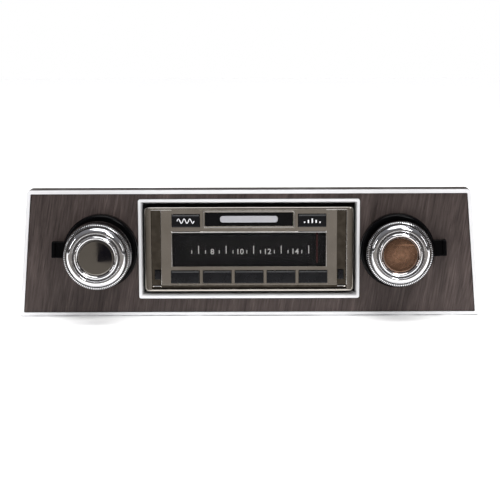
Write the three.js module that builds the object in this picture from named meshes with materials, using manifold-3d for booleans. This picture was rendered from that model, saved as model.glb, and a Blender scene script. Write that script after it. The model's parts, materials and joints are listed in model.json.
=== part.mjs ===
// In-dash car radio with two concentric controls, a dial with a cord-driven pointer and push buttons.
// Millimetres. +X right, +Y into the dash, +Z up. The radio faces -Y.
// Origin: middle of the face plate's lower rear edge, which seats against the dash.
import * as THREE from 'three';
import { mergeVertices } from 'three/addons/utils/BufferGeometryUtils.js';
import Module from 'manifold-3d';

const wasm = await Module();
wasm.setup();

// ---- driving dimensions -------------------------------------------------------------------------
// Heights below are measured from the common axis of the two controls.
const SHAFT_SPACING = 154;
const PLATE = { bottomWidth: 240.6, topWidth: 229.8, bottom: -34.8, top: 31.4, corner: 1.6 };
const OPENING = { bottomWidth: 114.9, topWidth: 114.9, bottom: -25.3, top: 26.7, corner: 1.2 };
const FLANGE = 2.4;
const AXIS_HEIGHT = -PLATE.bottom - FLANGE / 2;
const NOSE = { width: 108.6, bottom: -21.7, top: 22.6, corner: 2.2 };
const CHASSIS = { width: 178, bottom: -29.8, top: 14.2, front: 9.4, back: 114 };

// Depths of the front layers.
const TRIM_FRONT = -13;
const WOOD_FRONT = -12.2;
const WALL_FRONT = -11.7;
const WALL_BACK = -9.5;
const NOSE_FRONT = -14;
const NOSE_FACE = -13.4;
const NOSE_BACK = -9.8;

const SHEET = 1.2;
const GAP = 0.3;
const PAST = 2;
const ROUND = 18;

// Controls.
const RING = { radius: 19.3, front: -19, back: -12.7, cavity: 12, segments: 40 };
const KNOB = { radius: 17.2, back: -19.6, discSeat: 11.6, discRadius: 8.8, segments: 36 };
const VOLUME_STANDOFF = 6.5;
const LEVER_TILT = { left: 2.5, right: 3.5 };
const SHAFT_RADIUS = 2.25;
const SLEEVE = { outer: 3.5, inner: 2.6, front: -18.8, back: 13 };
const BUSHING = { outer: 4.7, inner: 3.85, front: -16, back: 9.3 };

// Dial and its cord drive.
const DIAL = { halfWidth: 40, bottom: -8.65, top: 9.25 };
const POINTER_X = 35.5;
const CORD_PLANE = 26;
const CORD_RADIUS = 0.4;
const PULLEY_RADIUS = 7;
const IDLER_X = -50;
const RAIL_Z = 11.3;

// Buttons.
const PRESET = { pitch: 16.65, width: 14.6, height: 6.5, centre: -14.05 };
const TOP_BUTTON = { centreX: 32.8, width: 14.3, height: 6.5, centre: 15.55 };
const BADGE = { halfWidth: 22.8, bottom: 12.8, top: 19.7 };
const SWITCH_FACE = -6.2;
const BOARD = { front: -4.6, back: -3 };

// ---- materials ----------------------------------------------------------------------------------
const finish = (color, roughness, metalness) => ({ color, roughness, metalness });
const CHROME = finish(0xd8d8dc, 0.08, 1);
const BLACK_GLOSS = finish(0x101012, 0.2, 0);
const BLACK_SATIN = finish(0x1a1b1f, 0.45, 0);
const DARK_PAINT = finish(0x1c1714, 0.5, 0);
const WALNUT = finish(0x4b4240, 0.55, 0);
const SILVER = finish(0xc9c9cf, 0.3, 1);
const STEEL = finish(0x9c9fa3, 0.35, 1);
const ZINC = finish(0xb7b6ae, 0.4, 1);
const BRASS = finish(0xb59a5b, 0.35, 1);
const ALUMINIUM = finish(0xaab0b5, 0.4, 1);
const SMOKE_CLEAR = finish(0x202224, 0.05, 0);
const CLEAR = finish(0xdfe4e6, 0.1, 0);
const POINTER_RED = finish(0x8c2a22, 0.4, 0);
const SMOKE_MIRROR = finish(0x55504a, 0.12, 1);
const COPPER = finish(0x8c6348, 0.3, 1);
const BOARD_GREEN = finish(0x1f4a33, 0.5, 0);
const CORD_CREAM = finish(0xb9ae94, 0.9, 0);
const NYLON = finish(0xd9d6c9, 0.55, 0);
const PLASTIC_BLACK = finish(0x141414, 0.5, 0);
const RIBBON_GREY = finish(0x8e9096, 0.6, 0);

const radio = new THREE.Group();
radio.position.z = AXIS_HEIGHT;

function add(name, geometry, look) {
  const mesh = new THREE.Mesh(geometry, new THREE.MeshStandardMaterial(look));
  mesh.name = name;
  radio.add(mesh);
  return mesh;
}

// ---- solids -------------------------------------------------------------------------------------
// Shared vertices only, no slivers at a lathe's poles, faces pointing out.
function tidy(geometry) {
  geometry.deleteAttribute('normal');
  geometry.deleteAttribute('uv');
  const merged = mergeVertices(geometry, 1e-4);
  const corners = merged.index.array;
  const kept = [];
  for (let i = 0; i < corners.length; i += 3) {
    const [a, b, c] = corners.slice(i, i + 3);
    if (a !== b && b !== c && c !== a) kept.push(a, b, c);
  }
  merged.setIndex(kept);
  if (signedVolume(merged) < 0) {
    merged.setIndex(kept.reverse());
  }
  return merged;
}

function signedVolume(geometry) {
  const points = geometry.attributes.position;
  const corners = geometry.index.array;
  const [a, b, c] = [new THREE.Vector3(), new THREE.Vector3(), new THREE.Vector3()];
  let volume = 0;
  for (let i = 0; i < corners.length; i += 3) {
    a.fromBufferAttribute(points, corners[i]);
    b.fromBufferAttribute(points, corners[i + 1]);
    c.fromBufferAttribute(points, corners[i + 2]);
    volume += a.dot(b.cross(c)) / 6;
  }
  return volume;
}

function solidOf(geometry) {
  const clean = tidy(geometry);
  const vertProperties = new Float32Array(clean.attributes.position.array);
  const triVerts = new Uint32Array(clean.index.array);
  return new wasm.Manifold(new wasm.Mesh({ numProp: 3, vertProperties, triVerts }));
}

function geometryOf(solid) {
  const mesh = solid.getMesh();
  const geometry = new THREE.BufferGeometry();
  geometry.setAttribute('position', new THREE.BufferAttribute(mesh.vertProperties, 3));
  geometry.setIndex(new THREE.BufferAttribute(mesh.triVerts, 1));
  return geometry;
}

function build(parts, cuts = []) {
  const whole = parts.map(solidOf).reduce((sum, part) => sum.add(part));
  return geometryOf(cuts.map(solidOf).reduce((rest, tool) => rest.subtract(tool), whole));
}

function box(x0, x1, y0, y1, z0, z1) {
  const geometry = new THREE.BoxGeometry(x1 - x0, y1 - y0, z1 - z0);
  return geometry.translate((x0 + x1) / 2, (y0 + y1) / 2, (z0 + z1) / 2);
}

function roundedShape(corners, radius) {
  const shape = new THREE.Shape();
  corners.forEach((corner, i) => {
    const before = corners[(i + corners.length - 1) % corners.length];
    const after = corners[(i + 1) % corners.length];
    const start = corner.clone().add(before.clone().sub(corner).setLength(radius));
    const end = corner.clone().add(after.clone().sub(corner).setLength(radius));
    if (i === 0) shape.moveTo(start.x, start.y);
    else shape.lineTo(start.x, start.y);
    shape.quadraticCurveTo(corner.x, corner.y, end.x, end.y);
  });
  shape.closePath();
  return shape;
}

function rectangle(halfWidth, bottom, top, radius, centreX = 0) {
  return roundedShape([
    new THREE.Vector2(centreX - halfWidth, bottom),
    new THREE.Vector2(centreX + halfWidth, bottom),
    new THREE.Vector2(centreX + halfWidth, top),
    new THREE.Vector2(centreX - halfWidth, top),
  ], radius);
}

// A symmetric trapezoid drawn in by `inset` on every side.
function trapezoid(outline, inset) {
  const halfAt = (z) => THREE.MathUtils.mapLinear(
    z, outline.bottom, outline.top, outline.bottomWidth / 2, outline.topWidth / 2) - inset;
  const bottom = outline.bottom + inset;
  const top = outline.top - inset;
  const radius = Math.max(outline.corner - inset / 2, 0.5);
  return roundedShape([
    new THREE.Vector2(-halfAt(bottom), bottom),
    new THREE.Vector2(halfAt(bottom), bottom),
    new THREE.Vector2(halfAt(top), top),
    new THREE.Vector2(-halfAt(top), top),
  ], radius);
}

// Extrudes an X-Z outline from y0 back to y1.
function slabXZ(shape, y0, y1, curveSegments = 4) {
  const geometry = new THREE.ExtrudeGeometry(shape, {
    depth: y1 - y0, bevelEnabled: false, curveSegments,
  });
  return geometry.rotateX(Math.PI / 2).translate(0, y1, 0);
}

// Extrudes a Y-Z outline from x0 to x1.
function slabYZ(points, x0, x1) {
  const shape = new THREE.Shape(points.map(([y, z]) => new THREE.Vector2(y, z)));
  const geometry = new THREE.ExtrudeGeometry(shape, { depth: x1 - x0, bevelEnabled: false });
  const turn = new THREE.Matrix4().makeBasis(
    new THREE.Vector3(0, 1, 0), new THREE.Vector3(0, 0, 1), new THREE.Vector3(1, 0, 0));
  return geometry.applyMatrix4(turn).translate(x0, 0, 0);
}

// Turns a profile of [radius, y] about an axis parallel to Y.
function turned(profile, x = 0, z = 0, segments = ROUND) {
  const points = profile.map(([radius, y]) => new THREE.Vector2(radius, y));
  return tidy(new THREE.LatheGeometry(points, segments)).translate(x, 0, z);
}

function disc(radius, y0, y1, x = 0, z = 0, segments = ROUND) {
  return turned([[0, y0], [radius, y0], [radius, y1], [0, y1]], x, z, segments);
}

function tube(outer, inner, y0, y1, x = 0, z = 0, segments = ROUND) {
  return turned([[inner, y0], [outer, y0], [outer, y1], [inner, y1], [inner, y0]], x, z, segments);
}

const sides = { left: -SHAFT_SPACING / 2, right: SHAFT_SPACING / 2 };

// ---- face plate, trim and wood applique ---------------------------------------------------------
function facePlate() {
  const TRIM_WIDTH = 1.9;
  const OPENING_TRIM = { edge: 1.3, slope: 0.75, slopeDepth: 1.9, back: -4 };
  const CLEAR_FIT = 0.15;
  const HOLE = BUSHING.outer + 0.4;
  const shaftHoles = Object.values(sides).map((x) => disc(HOLE, WOOD_FRONT - PAST, PAST, x));
  const openingCut = slabXZ(trapezoid(OPENING, -CLEAR_FIT), WOOD_FRONT - PAST, PAST);

  add('face_plate', build(
    [slabXZ(trapezoid(PLATE, 0), WALL_FRONT, 0)],
    [slabXZ(trapezoid(PLATE, FLANGE), WALL_BACK, PAST), openingCut, ...shaftHoles],
  ), DARK_PAINT);

  add('outer_trim', build(
    [slabXZ(trapezoid(PLATE, 0), TRIM_FRONT, WALL_FRONT)],
    [slabXZ(trapezoid(PLATE, TRIM_WIDTH), TRIM_FRONT - PAST, WALL_FRONT + PAST)],
  ), CHROME);

  add('wood_applique', build(
    [slabXZ(trapezoid(PLATE, TRIM_WIDTH + CLEAR_FIT), WOOD_FRONT, WALL_FRONT)],
    [openingCut, ...shaftHoles],
  ), WALNUT);

  // The trim's inner edge slopes in towards the nose before it runs straight back.
  const throughHole = trapezoid(OPENING, OPENING_TRIM.edge);
  const holeFront = NOSE_FRONT + OPENING_TRIM.slopeDepth;
  const holeBack = OPENING_TRIM.back + PAST;
  const slopedHole = new THREE.ExtrudeGeometry(throughHole, {
    depth: holeBack - holeFront,
    bevelThickness: OPENING_TRIM.slopeDepth + 0.01,
    bevelSize: -OPENING_TRIM.slope,
    bevelSegments: 1,
    curveSegments: 4,
  }).rotateX(Math.PI / 2).translate(0, holeBack, 0);
  add('opening_trim', build(
    [slabXZ(trapezoid(OPENING, 0), NOSE_FRONT, OPENING_TRIM.back)],
    [slopedHole],
  ), CHROME);
}

// ---- nose: the plated bezel that frames the dial and buttons -------------------------------------
function noseBezel() {
  const SKIRT_BACK = -1;
  const WALL = 1.2;
  const halfWidth = NOSE.width / 2;
  const CHANNEL_FLOOR = -11;
  const SIDE_RIM = 3.4;
  const BOTTOM_RIM = 1.2;
  const TOP_RIM = 1.35;
  const INNER = { halfWidth: 45.7, bottom: -18.45 };
  const BADGE_RIM = { sides: 1.2, ends: 1.3 };
  const DIAL_LIP = { back: 0.2, height: 0.6 };
  const CLEAR = 0.1;
  const channelTop = NOSE.top - TOP_RIM;
  const outline = (inset) => rectangle(
    halfWidth - inset, NOSE.bottom + inset, NOSE.top - inset, NOSE.corner - inset / 2);
  const through = (x0, x1, z0, z1) => box(x0, x1, NOSE_FRONT - PAST, NOSE_BACK + PAST, z0, z1);

  const front = slabXZ(outline(0), NOSE_FRONT, SKIRT_BACK);
  const hollow = slabXZ(outline(WALL), NOSE_BACK, SKIRT_BACK + PAST);
  const channelCut = box(-halfWidth + SIDE_RIM, halfWidth - SIDE_RIM, NOSE_FRONT - PAST, CHANNEL_FLOOR,
    NOSE.bottom + BOTTOM_RIM, channelTop);
  const inner = box(-INNER.halfWidth, INNER.halfWidth, NOSE_FACE, NOSE_BACK, INNER.bottom, channelTop);
  const badgeRim = box(-BADGE.halfWidth - BADGE_RIM.sides, BADGE.halfWidth + BADGE_RIM.sides,
    NOSE_FRONT, NOSE_BACK, BADGE.bottom - BADGE_RIM.ends, BADGE.top + BADGE_RIM.ends);
  const dialLip = box(-DIAL.halfWidth, DIAL.halfWidth, NOSE_FRONT + DIAL_LIP.back, NOSE_BACK,
    DIAL.top, DIAL.top + DIAL_LIP.height);

  const buttonCut = (x, { width, height, centre }) => {
    const halfCut = width / 2 + 2 * CLEAR;
    const halfRise = height / 2 + 2 * CLEAR;
    return through(x - halfCut, x + halfCut, centre - halfRise, centre + halfRise);
  };
  const presetCuts = presetCentres().map((x) => buttonCut(x, PRESET));
  const topCuts = [-1, 1].map((side) => buttonCut(side * TOP_BUTTON.centreX, TOP_BUTTON));
  const badgeCut = through(-BADGE.halfWidth - CLEAR, BADGE.halfWidth + CLEAR,
    BADGE.bottom - CLEAR, BADGE.top + CLEAR);
  const dialCut = through(-DIAL.halfWidth, DIAL.halfWidth, DIAL.bottom, DIAL.top);
  const SLOT = { inner: 46.2, outer: 49.4, bottom: -15.8, top: -10.6 };
  const slotCuts = [-1, 1].map((side) => through(
    Math.min(side * SLOT.inner, side * SLOT.outer), Math.max(side * SLOT.inner, side * SLOT.outer),
    SLOT.bottom, SLOT.top));

  const shell = solidOf(front).subtract(solidOf(hollow)).subtract(solidOf(channelCut));
  const raised = [inner, badgeRim, dialLip].reduce((sum, part) => sum.add(solidOf(part)), shell);
  const cuts = [...presetCuts, ...topCuts, badgeCut, dialCut, ...slotCuts];
  const bezel = cuts.reduce((rest, tool) => rest.subtract(solidOf(tool)), raised);
  add('nose_bezel', geometryOf(bezel), CHROME);
}

function presetCentres() {
  return [-2, -1, 0, 1, 2].map((step) => step * PRESET.pitch);
}

// ---- badge: a plain bar on a black panel --------------------------------------------------------
function badge() {
  const PANEL = { front: -13, back: -10.5 };
  const BAR = { halfLength: 15, halfHeight: 1.7, front: -13.9, centre: 16.25 };
  add('badge_panel', tidy(box(-BADGE.halfWidth, BADGE.halfWidth, PANEL.front, PANEL.back,
    BADGE.bottom, BADGE.top)), BLACK_GLOSS);
  const bar = rectangle(BAR.halfLength, BAR.centre - BAR.halfHeight, BAR.centre + BAR.halfHeight,
    BAR.halfHeight - 0.05);
  add('badge_bar', tidy(slabXZ(bar, BAR.front, PANEL.front, 6)), SILVER);
}

// ---- dial: lens, scale, light guide and pointer -------------------------------------------------
function dial() {
  const LENS = { front: -12.6, back: -11.6 };
  const SCALE = { front: -9.6, back: -9, top: 7.75, overlap: 1.5, drop: 1 };
  const GUIDE = { halfWidth: 34, front: -8.7, back: -3.2, bottom: -7.5, top: 6.8 };
  const CLEARANCE = 0.2;
  add('dial_lens', tidy(box(-DIAL.halfWidth + CLEARANCE, DIAL.halfWidth - CLEARANCE, LENS.front, LENS.back,
    DIAL.bottom + CLEARANCE, DIAL.top - CLEARANCE)), SMOKE_CLEAR);
  add('dial_scale', tidy(box(-DIAL.halfWidth - SCALE.overlap, DIAL.halfWidth + SCALE.overlap,
    SCALE.front, SCALE.back, DIAL.bottom - SCALE.drop, SCALE.top)), BLACK_SATIN);
  add('light_guide', tidy(box(-GUIDE.halfWidth, GUIDE.halfWidth, GUIDE.front, GUIDE.back,
    GUIDE.bottom, GUIDE.top)), CLEAR);
}

function pointer() {
  const BLADE = { front: -11.2, back: -10.8, bottom: -7.2, width: 1 };
  const ARM = { bottom: 8.05, top: 8.7, back: 21.8 };
  const half = BLADE.width / 2;
  add('dial_pointer', tidy(slabYZ([
    [BLADE.front, BLADE.bottom],
    [BLADE.back, BLADE.bottom],
    [BLADE.back, ARM.bottom],
    [ARM.back, ARM.bottom],
    [ARM.back, ARM.top],
    [BLADE.front, ARM.top],
  ], POINTER_X - half, POINTER_X + half)), POINTER_RED);

  const CARRIAGE = { halfLength: 5, front: 22.1, back: 29.6, bottom: 5.4, top: 13.4 };
  const RAIL_RADIUS = 1;
  const RAIL = { left: -59.2, right: 58.2 };
  const CUT = { half: 9, slotHalf: 1 };
  add('pointer_carriage', build(
    [box(POINTER_X - CARRIAGE.halfLength, POINTER_X + CARRIAGE.halfLength,
      CARRIAGE.front, CARRIAGE.back, CARRIAGE.bottom, CARRIAGE.top)],
    [
      railBar(RAIL_RADIUS + 0.35, POINTER_X - CUT.half, POINTER_X + CUT.half),
      box(POINTER_X - CUT.half, POINTER_X + CUT.half, CORD_PLANE - CUT.slotHalf, CORD_PLANE + CUT.slotHalf,
        CARRIAGE.bottom - PAST, PULLEY_RADIUS + CUT.slotHalf),
    ],
  ), NYLON);
  add('pointer_rail', railBar(RAIL_RADIUS, RAIL.left, RAIL.right), STEEL);
}

// A round bar on the pointer rail's line.
function railBar(radius, x0, x1) {
  return disc(radius, x0, x1).rotateZ(-Math.PI / 2).translate(0, CORD_PLANE, RAIL_Z);
}

// The cord's loop round the drum and the idler, starting and ending inside the carriage's clamp.
class CordLoop extends THREE.Curve {
  constructor() {
    super();
    this.straight = sides.right - IDLER_X;
    this.arc = Math.PI * PULLEY_RADIUS;
    this.length = 2 * (this.straight + this.arc) - 2 * GAP;
  }

  getPoint(t, target = new THREE.Vector3()) {
    const start = POINTER_X - IDLER_X - GAP;
    let along = t * this.length;
    if (along < start) return target.set(POINTER_X - GAP - along, CORD_PLANE, PULLEY_RADIUS);
    along -= start;
    if (along < this.arc) return this.onPulley(IDLER_X, Math.PI / 2 + along / PULLEY_RADIUS, target);
    along -= this.arc;
    if (along < this.straight) return target.set(IDLER_X + along, CORD_PLANE, -PULLEY_RADIUS);
    along -= this.straight;
    if (along < this.arc) return this.onPulley(sides.right, -Math.PI / 2 + along / PULLEY_RADIUS, target);
    along -= this.arc;
    return target.set(sides.right - along, CORD_PLANE, PULLEY_RADIUS);
  }

  onPulley(x, angle, target) {
    return target.set(x + PULLEY_RADIUS * Math.cos(angle), CORD_PLANE, PULLEY_RADIUS * Math.sin(angle));
  }
}

function cordDrive() {
  const STEPS = 72;
  const CORD_SIDES = 5;
  const section = new THREE.Shape();
  for (let i = 0; i < CORD_SIDES; i += 1) {
    const angle = (2 * Math.PI * i) / CORD_SIDES;
    const point = [CORD_RADIUS * Math.cos(angle), CORD_RADIUS * Math.sin(angle)];
    if (i === 0) section.moveTo(...point);
    else section.lineTo(...point);
  }
  section.closePath();
  add('dial_cord', tidy(new THREE.ExtrudeGeometry(section, {
    steps: STEPS, extrudePath: new CordLoop(), bevelEnabled: false,
  })), CORD_CREAM);

  const FLANGE_RADIUS = 8.4;
  const GROOVE_RADIUS = PULLEY_RADIUS - CORD_RADIUS - GAP;
  const HALF_WIDTH = 2.4;
  const HALF_GROOVE = 1;
  const PULLEY_SEGMENTS = 24;
  const pulley = (x, bore) => turned([
    [bore, CORD_PLANE - HALF_WIDTH],
    [FLANGE_RADIUS, CORD_PLANE - HALF_WIDTH],
    [FLANGE_RADIUS, CORD_PLANE - HALF_GROOVE - 0.4],
    [GROOVE_RADIUS, CORD_PLANE - HALF_GROOVE],
    [GROOVE_RADIUS, CORD_PLANE + HALF_GROOVE],
    [FLANGE_RADIUS, CORD_PLANE + HALF_GROOVE + 0.4],
    [FLANGE_RADIUS, CORD_PLANE + HALF_WIDTH],
    [bore, CORD_PLANE + HALF_WIDTH],
    [bore, CORD_PLANE - HALF_WIDTH],
  ], x, 0, PULLEY_SEGMENTS);
  const POST_RADIUS = 1.5;
  add('cord_drum', pulley(sides.right, SHAFT_RADIUS + GAP), NYLON);
  add('idler_pulley', pulley(IDLER_X, POST_RADIUS + GAP), NYLON);

  const FRAME = { left: -60, right: 58, front: 30.5, bottom: -14, top: 13.4, railHole: 1.35 };
  const LEG_WIDTH = 8;
  const EAR = { front: 22, bottom: 9.2 };
  const frameBack = FRAME.front + SHEET;
  const legBottom = CHASSIS.bottom + SHEET + 0.1;
  const ear = (x) => box(x, x + SHEET, EAR.front, frameBack, EAR.bottom, FRAME.top);
  add('drive_frame', build(
    [
      box(FRAME.left, FRAME.right, FRAME.front, frameBack, FRAME.bottom, FRAME.top),
      box(FRAME.left, FRAME.left + LEG_WIDTH, FRAME.front, frameBack, legBottom, FRAME.bottom + 1),
      box(FRAME.right - LEG_WIDTH, FRAME.right, FRAME.front, frameBack, legBottom, FRAME.bottom + 1),
      ear(FRAME.left),
      ear(FRAME.right - SHEET),
      disc(POST_RADIUS, CORD_PLANE - HALF_WIDTH - 1, FRAME.front + 0.5, IDLER_X),
    ],
    [railBar(FRAME.railHole, FRAME.left - PAST, FRAME.right + PAST)],
  ), ZINC);
}

// ---- push buttons and their switch board --------------------------------------------------------
function button(name, x, centre, width, height) {
  const FRONT = -15.2;
  const FLANGE_FRONT = -9.5;
  const FLANGE_BACK = -8.6;
  const STEM_BACK = -7.6;
  const CHAMFER = 0.8;
  const OVERHANG = 0.5;
  const JOIN = 0.3;
  const STEM_HALF = 1.5;
  const low = centre - height / 2;
  const high = centre + height / 2;
  const cap = slabYZ([
    [FRONT + JOIN, low],
    [FLANGE_FRONT + JOIN, low],
    [FLANGE_FRONT + JOIN, high],
    [FRONT + CHAMFER, high],
    [FRONT, high - CHAMFER],
    [FRONT, low + JOIN],
  ], x - width / 2, x + width / 2);
  const flange = box(x - width / 2 - OVERHANG, x + width / 2 + OVERHANG, FLANGE_FRONT, FLANGE_BACK,
    low - OVERHANG, high + OVERHANG);
  const stem = box(x - STEM_HALF, x + STEM_HALF, FLANGE_BACK - JOIN, STEM_BACK,
    centre - STEM_HALF, centre + STEM_HALF);
  add(name, build([cap, flange, stem]), BLACK_SATIN);
}

function buttons() {
  button('band_button', -TOP_BUTTON.centreX, TOP_BUTTON.centre, TOP_BUTTON.width, TOP_BUTTON.height);
  button('mode_button', TOP_BUTTON.centreX, TOP_BUTTON.centre, TOP_BUTTON.width, TOP_BUTTON.height);
  presetCentres().forEach((x, i) => {
    button(`preset_button_${i + 1}`, x, PRESET.centre, PRESET.width, PRESET.height);
  });
}

function switchBoard() {
  const EDGE = { halfWidth: 51.5, bottom: -19.1, top: 20.1 };
  const WINDOW = { halfWidth: 41.5, bottom: -9.3, top: 9.6 };
  const SWITCH_HALF = 3;
  const places = [
    ...presetCentres().map((x) => [x, PRESET.centre]),
    [-TOP_BUTTON.centreX, TOP_BUTTON.centre],
    [TOP_BUTTON.centreX, TOP_BUTTON.centre],
  ];
  const switches = places.map(([x, z]) => box(x - SWITCH_HALF, x + SWITCH_HALF,
    SWITCH_FACE, BOARD.front + 0.2, z - SWITCH_HALF, z + SWITCH_HALF));
  const sheet = box(-EDGE.halfWidth, EDGE.halfWidth, BOARD.front, BOARD.back, EDGE.bottom, EDGE.top);
  const dialWindow = box(-WINDOW.halfWidth, WINDOW.halfWidth, SWITCH_FACE - PAST, BOARD.back + PAST,
    WINDOW.bottom, WINDOW.top);
  add('switch_board', build([sheet, ...switches], [dialWindow]), BOARD_GREEN);
}

// ---- concentric controls ------------------------------------------------------------------------
function knob(name, x, back, look, discLook) {
  // Radius and distance in front of the knob's back, from the disc seat out over the two rings,
  // down the knurled skirt and into the shaft's bore.
  const profile = [
    [0, KNOB.discSeat], [8.95, KNOB.discSeat], [9.1, 12.4], [9.7, 13.1], [10.5, 13.4], [11.2, 12.9],
    [11.6, 11.7], [12.1, 11.9], [12.8, 12.6], [13.7, 12.8], [14.7, 12.3], [15.2, 11.1], [15.35, 10.4],
    [16, 10.3], [16.8, 9.5], [KNOB.radius, 8.3], [KNOB.radius, 0.6], [16.7, 0],
    [SHAFT_RADIUS + GAP, 0], [SHAFT_RADIUS + GAP, 10.4], [0, 10.4],
  ];
  const forward = profile.map(([radius, ahead]) => [radius, back - ahead]);
  add(name, turned(forward, x, 0, KNOB.segments), look);
  const seat = back - KNOB.discSeat - 0.1;
  add(`${name}_disc`, turned([
    [0, seat], [KNOB.discRadius, seat], [KNOB.discRadius, seat - 0.5], [KNOB.discRadius - 0.4, seat - 0.7],
    [0, seat - 0.8],
  ], x, 0, KNOB.segments), discLook);
}

function ringLever(name, x, side, tilt) {
  const TAB = { inner: 17.5, outer: 25.3, halfWidth: 4.2, front: -17.4, back: -13.1 };
  const RIDGE = { inner: 23.2, front: -18.6 };
  const bore = SLEEVE.outer + GAP;
  const body = turned([
    [bore, RING.front], [17.6, RING.front], [18.8, RING.front + 0.6], [RING.radius, RING.front + 1.9],
    [RING.radius, RING.back], [RING.cavity, RING.back], [RING.cavity, -16.4], [bore, -16.4],
    [bore, RING.front],
  ], 0, 0, RING.segments);
  const tab = box(TAB.inner, TAB.outer, TAB.front, TAB.back, -TAB.halfWidth, TAB.halfWidth);
  const ridge = box(RIDGE.inner, TAB.outer, RIDGE.front, TAB.front + 0.5, -TAB.halfWidth, TAB.halfWidth);
  const angle = side < 0 ? Math.PI - THREE.MathUtils.degToRad(tilt) : THREE.MathUtils.degToRad(tilt);
  const whole = build([body, tab, ridge]);
  add(name, whole.rotateY(-angle).translate(x, 0, 0), BLACK_GLOSS);
}

function control(side) {
  const x = sides[side];
  const isLeft = side === 'left';
  const knobBack = KNOB.back - (isLeft ? VOLUME_STANDOFF : 0);
  const shaftFront = knobBack - 10;
  const shaftBack = isLeft ? 20 : 29.6;
  const NUT = { acrossCorners: 16.2, front: -15.1, back: -12.5 };
  const BODY = { radius: 10.4, front: 9.6, back: 21.2, bore: 3.9, segments: 24 };
  const LUG = { pitch: 5, half: 0.9, front: 13, back: 13.9, bottom: -17, top: -10 };
  const WAFER = { half: 6.8, front: 12, back: 14.6, bottom: -13.5, top: -9 };

  knob(isLeft ? 'volume_knob' : 'tuning_knob', x, knobBack, CHROME, isLeft ? SMOKE_MIRROR : COPPER);
  ringLever(isLeft ? 'tone_lever' : 'fader_lever', x, isLeft ? -1 : 1, LEVER_TILT[side]);
  add(`${side}_shaft`, disc(SHAFT_RADIUS, shaftFront, shaftBack, x), STEEL);
  add(`${side}_sleeve`, tube(SLEEVE.outer, SLEEVE.inner, SLEEVE.front, SLEEVE.back, x), STEEL);
  add(`${side}_bushing`, tube(BUSHING.outer, BUSHING.inner, BUSHING.front, BUSHING.back, x), BRASS);
  add(`${side}_nut`,
    tubeWithHexagon(NUT.acrossCorners / 2, BUSHING.outer + GAP, NUT.front, NUT.back, x), ZINC);

  const lugs = [-LUG.pitch, 0, LUG.pitch].map((offset) => box(
    x + offset - LUG.half, x + offset + LUG.half, LUG.front, LUG.back, LUG.bottom, LUG.top));
  const can = tube(BODY.radius, BODY.bore, BODY.front, BODY.back, x, 0, BODY.segments);
  const wafer = box(x - WAFER.half, x + WAFER.half, WAFER.front, WAFER.back, WAFER.bottom, WAFER.top);
  add(isLeft ? 'volume_control' : 'tuning_control', build([can, wafer, ...lugs]), ZINC);
}

function tubeWithHexagon(cornerRadius, bore, y0, y1, x, z = 0) {
  const HEX_SIDES = 6;
  return build([disc(cornerRadius, y0, y1, x, z, HEX_SIDES)], [disc(bore, y0 - PAST, y1 + PAST, x, z)]);
}

// ---- chassis ------------------------------------------------------------------------------------
const REAR = { antenna: [-62, -8], antennaHole: 5.5, stud: [76, 4], studHole: 3.3 };
const WIRING = { left: 28, right: 62, bottom: -18, top: -4 };
const SCREW = { depths: [26, 100], height: 8.6, hole: 1.85 };

function screwHole(x0, x1, y) {
  return disc(SCREW.hole, x0, x1).rotateZ(-Math.PI / 2).translate(0, y, SCREW.height);
}

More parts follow.
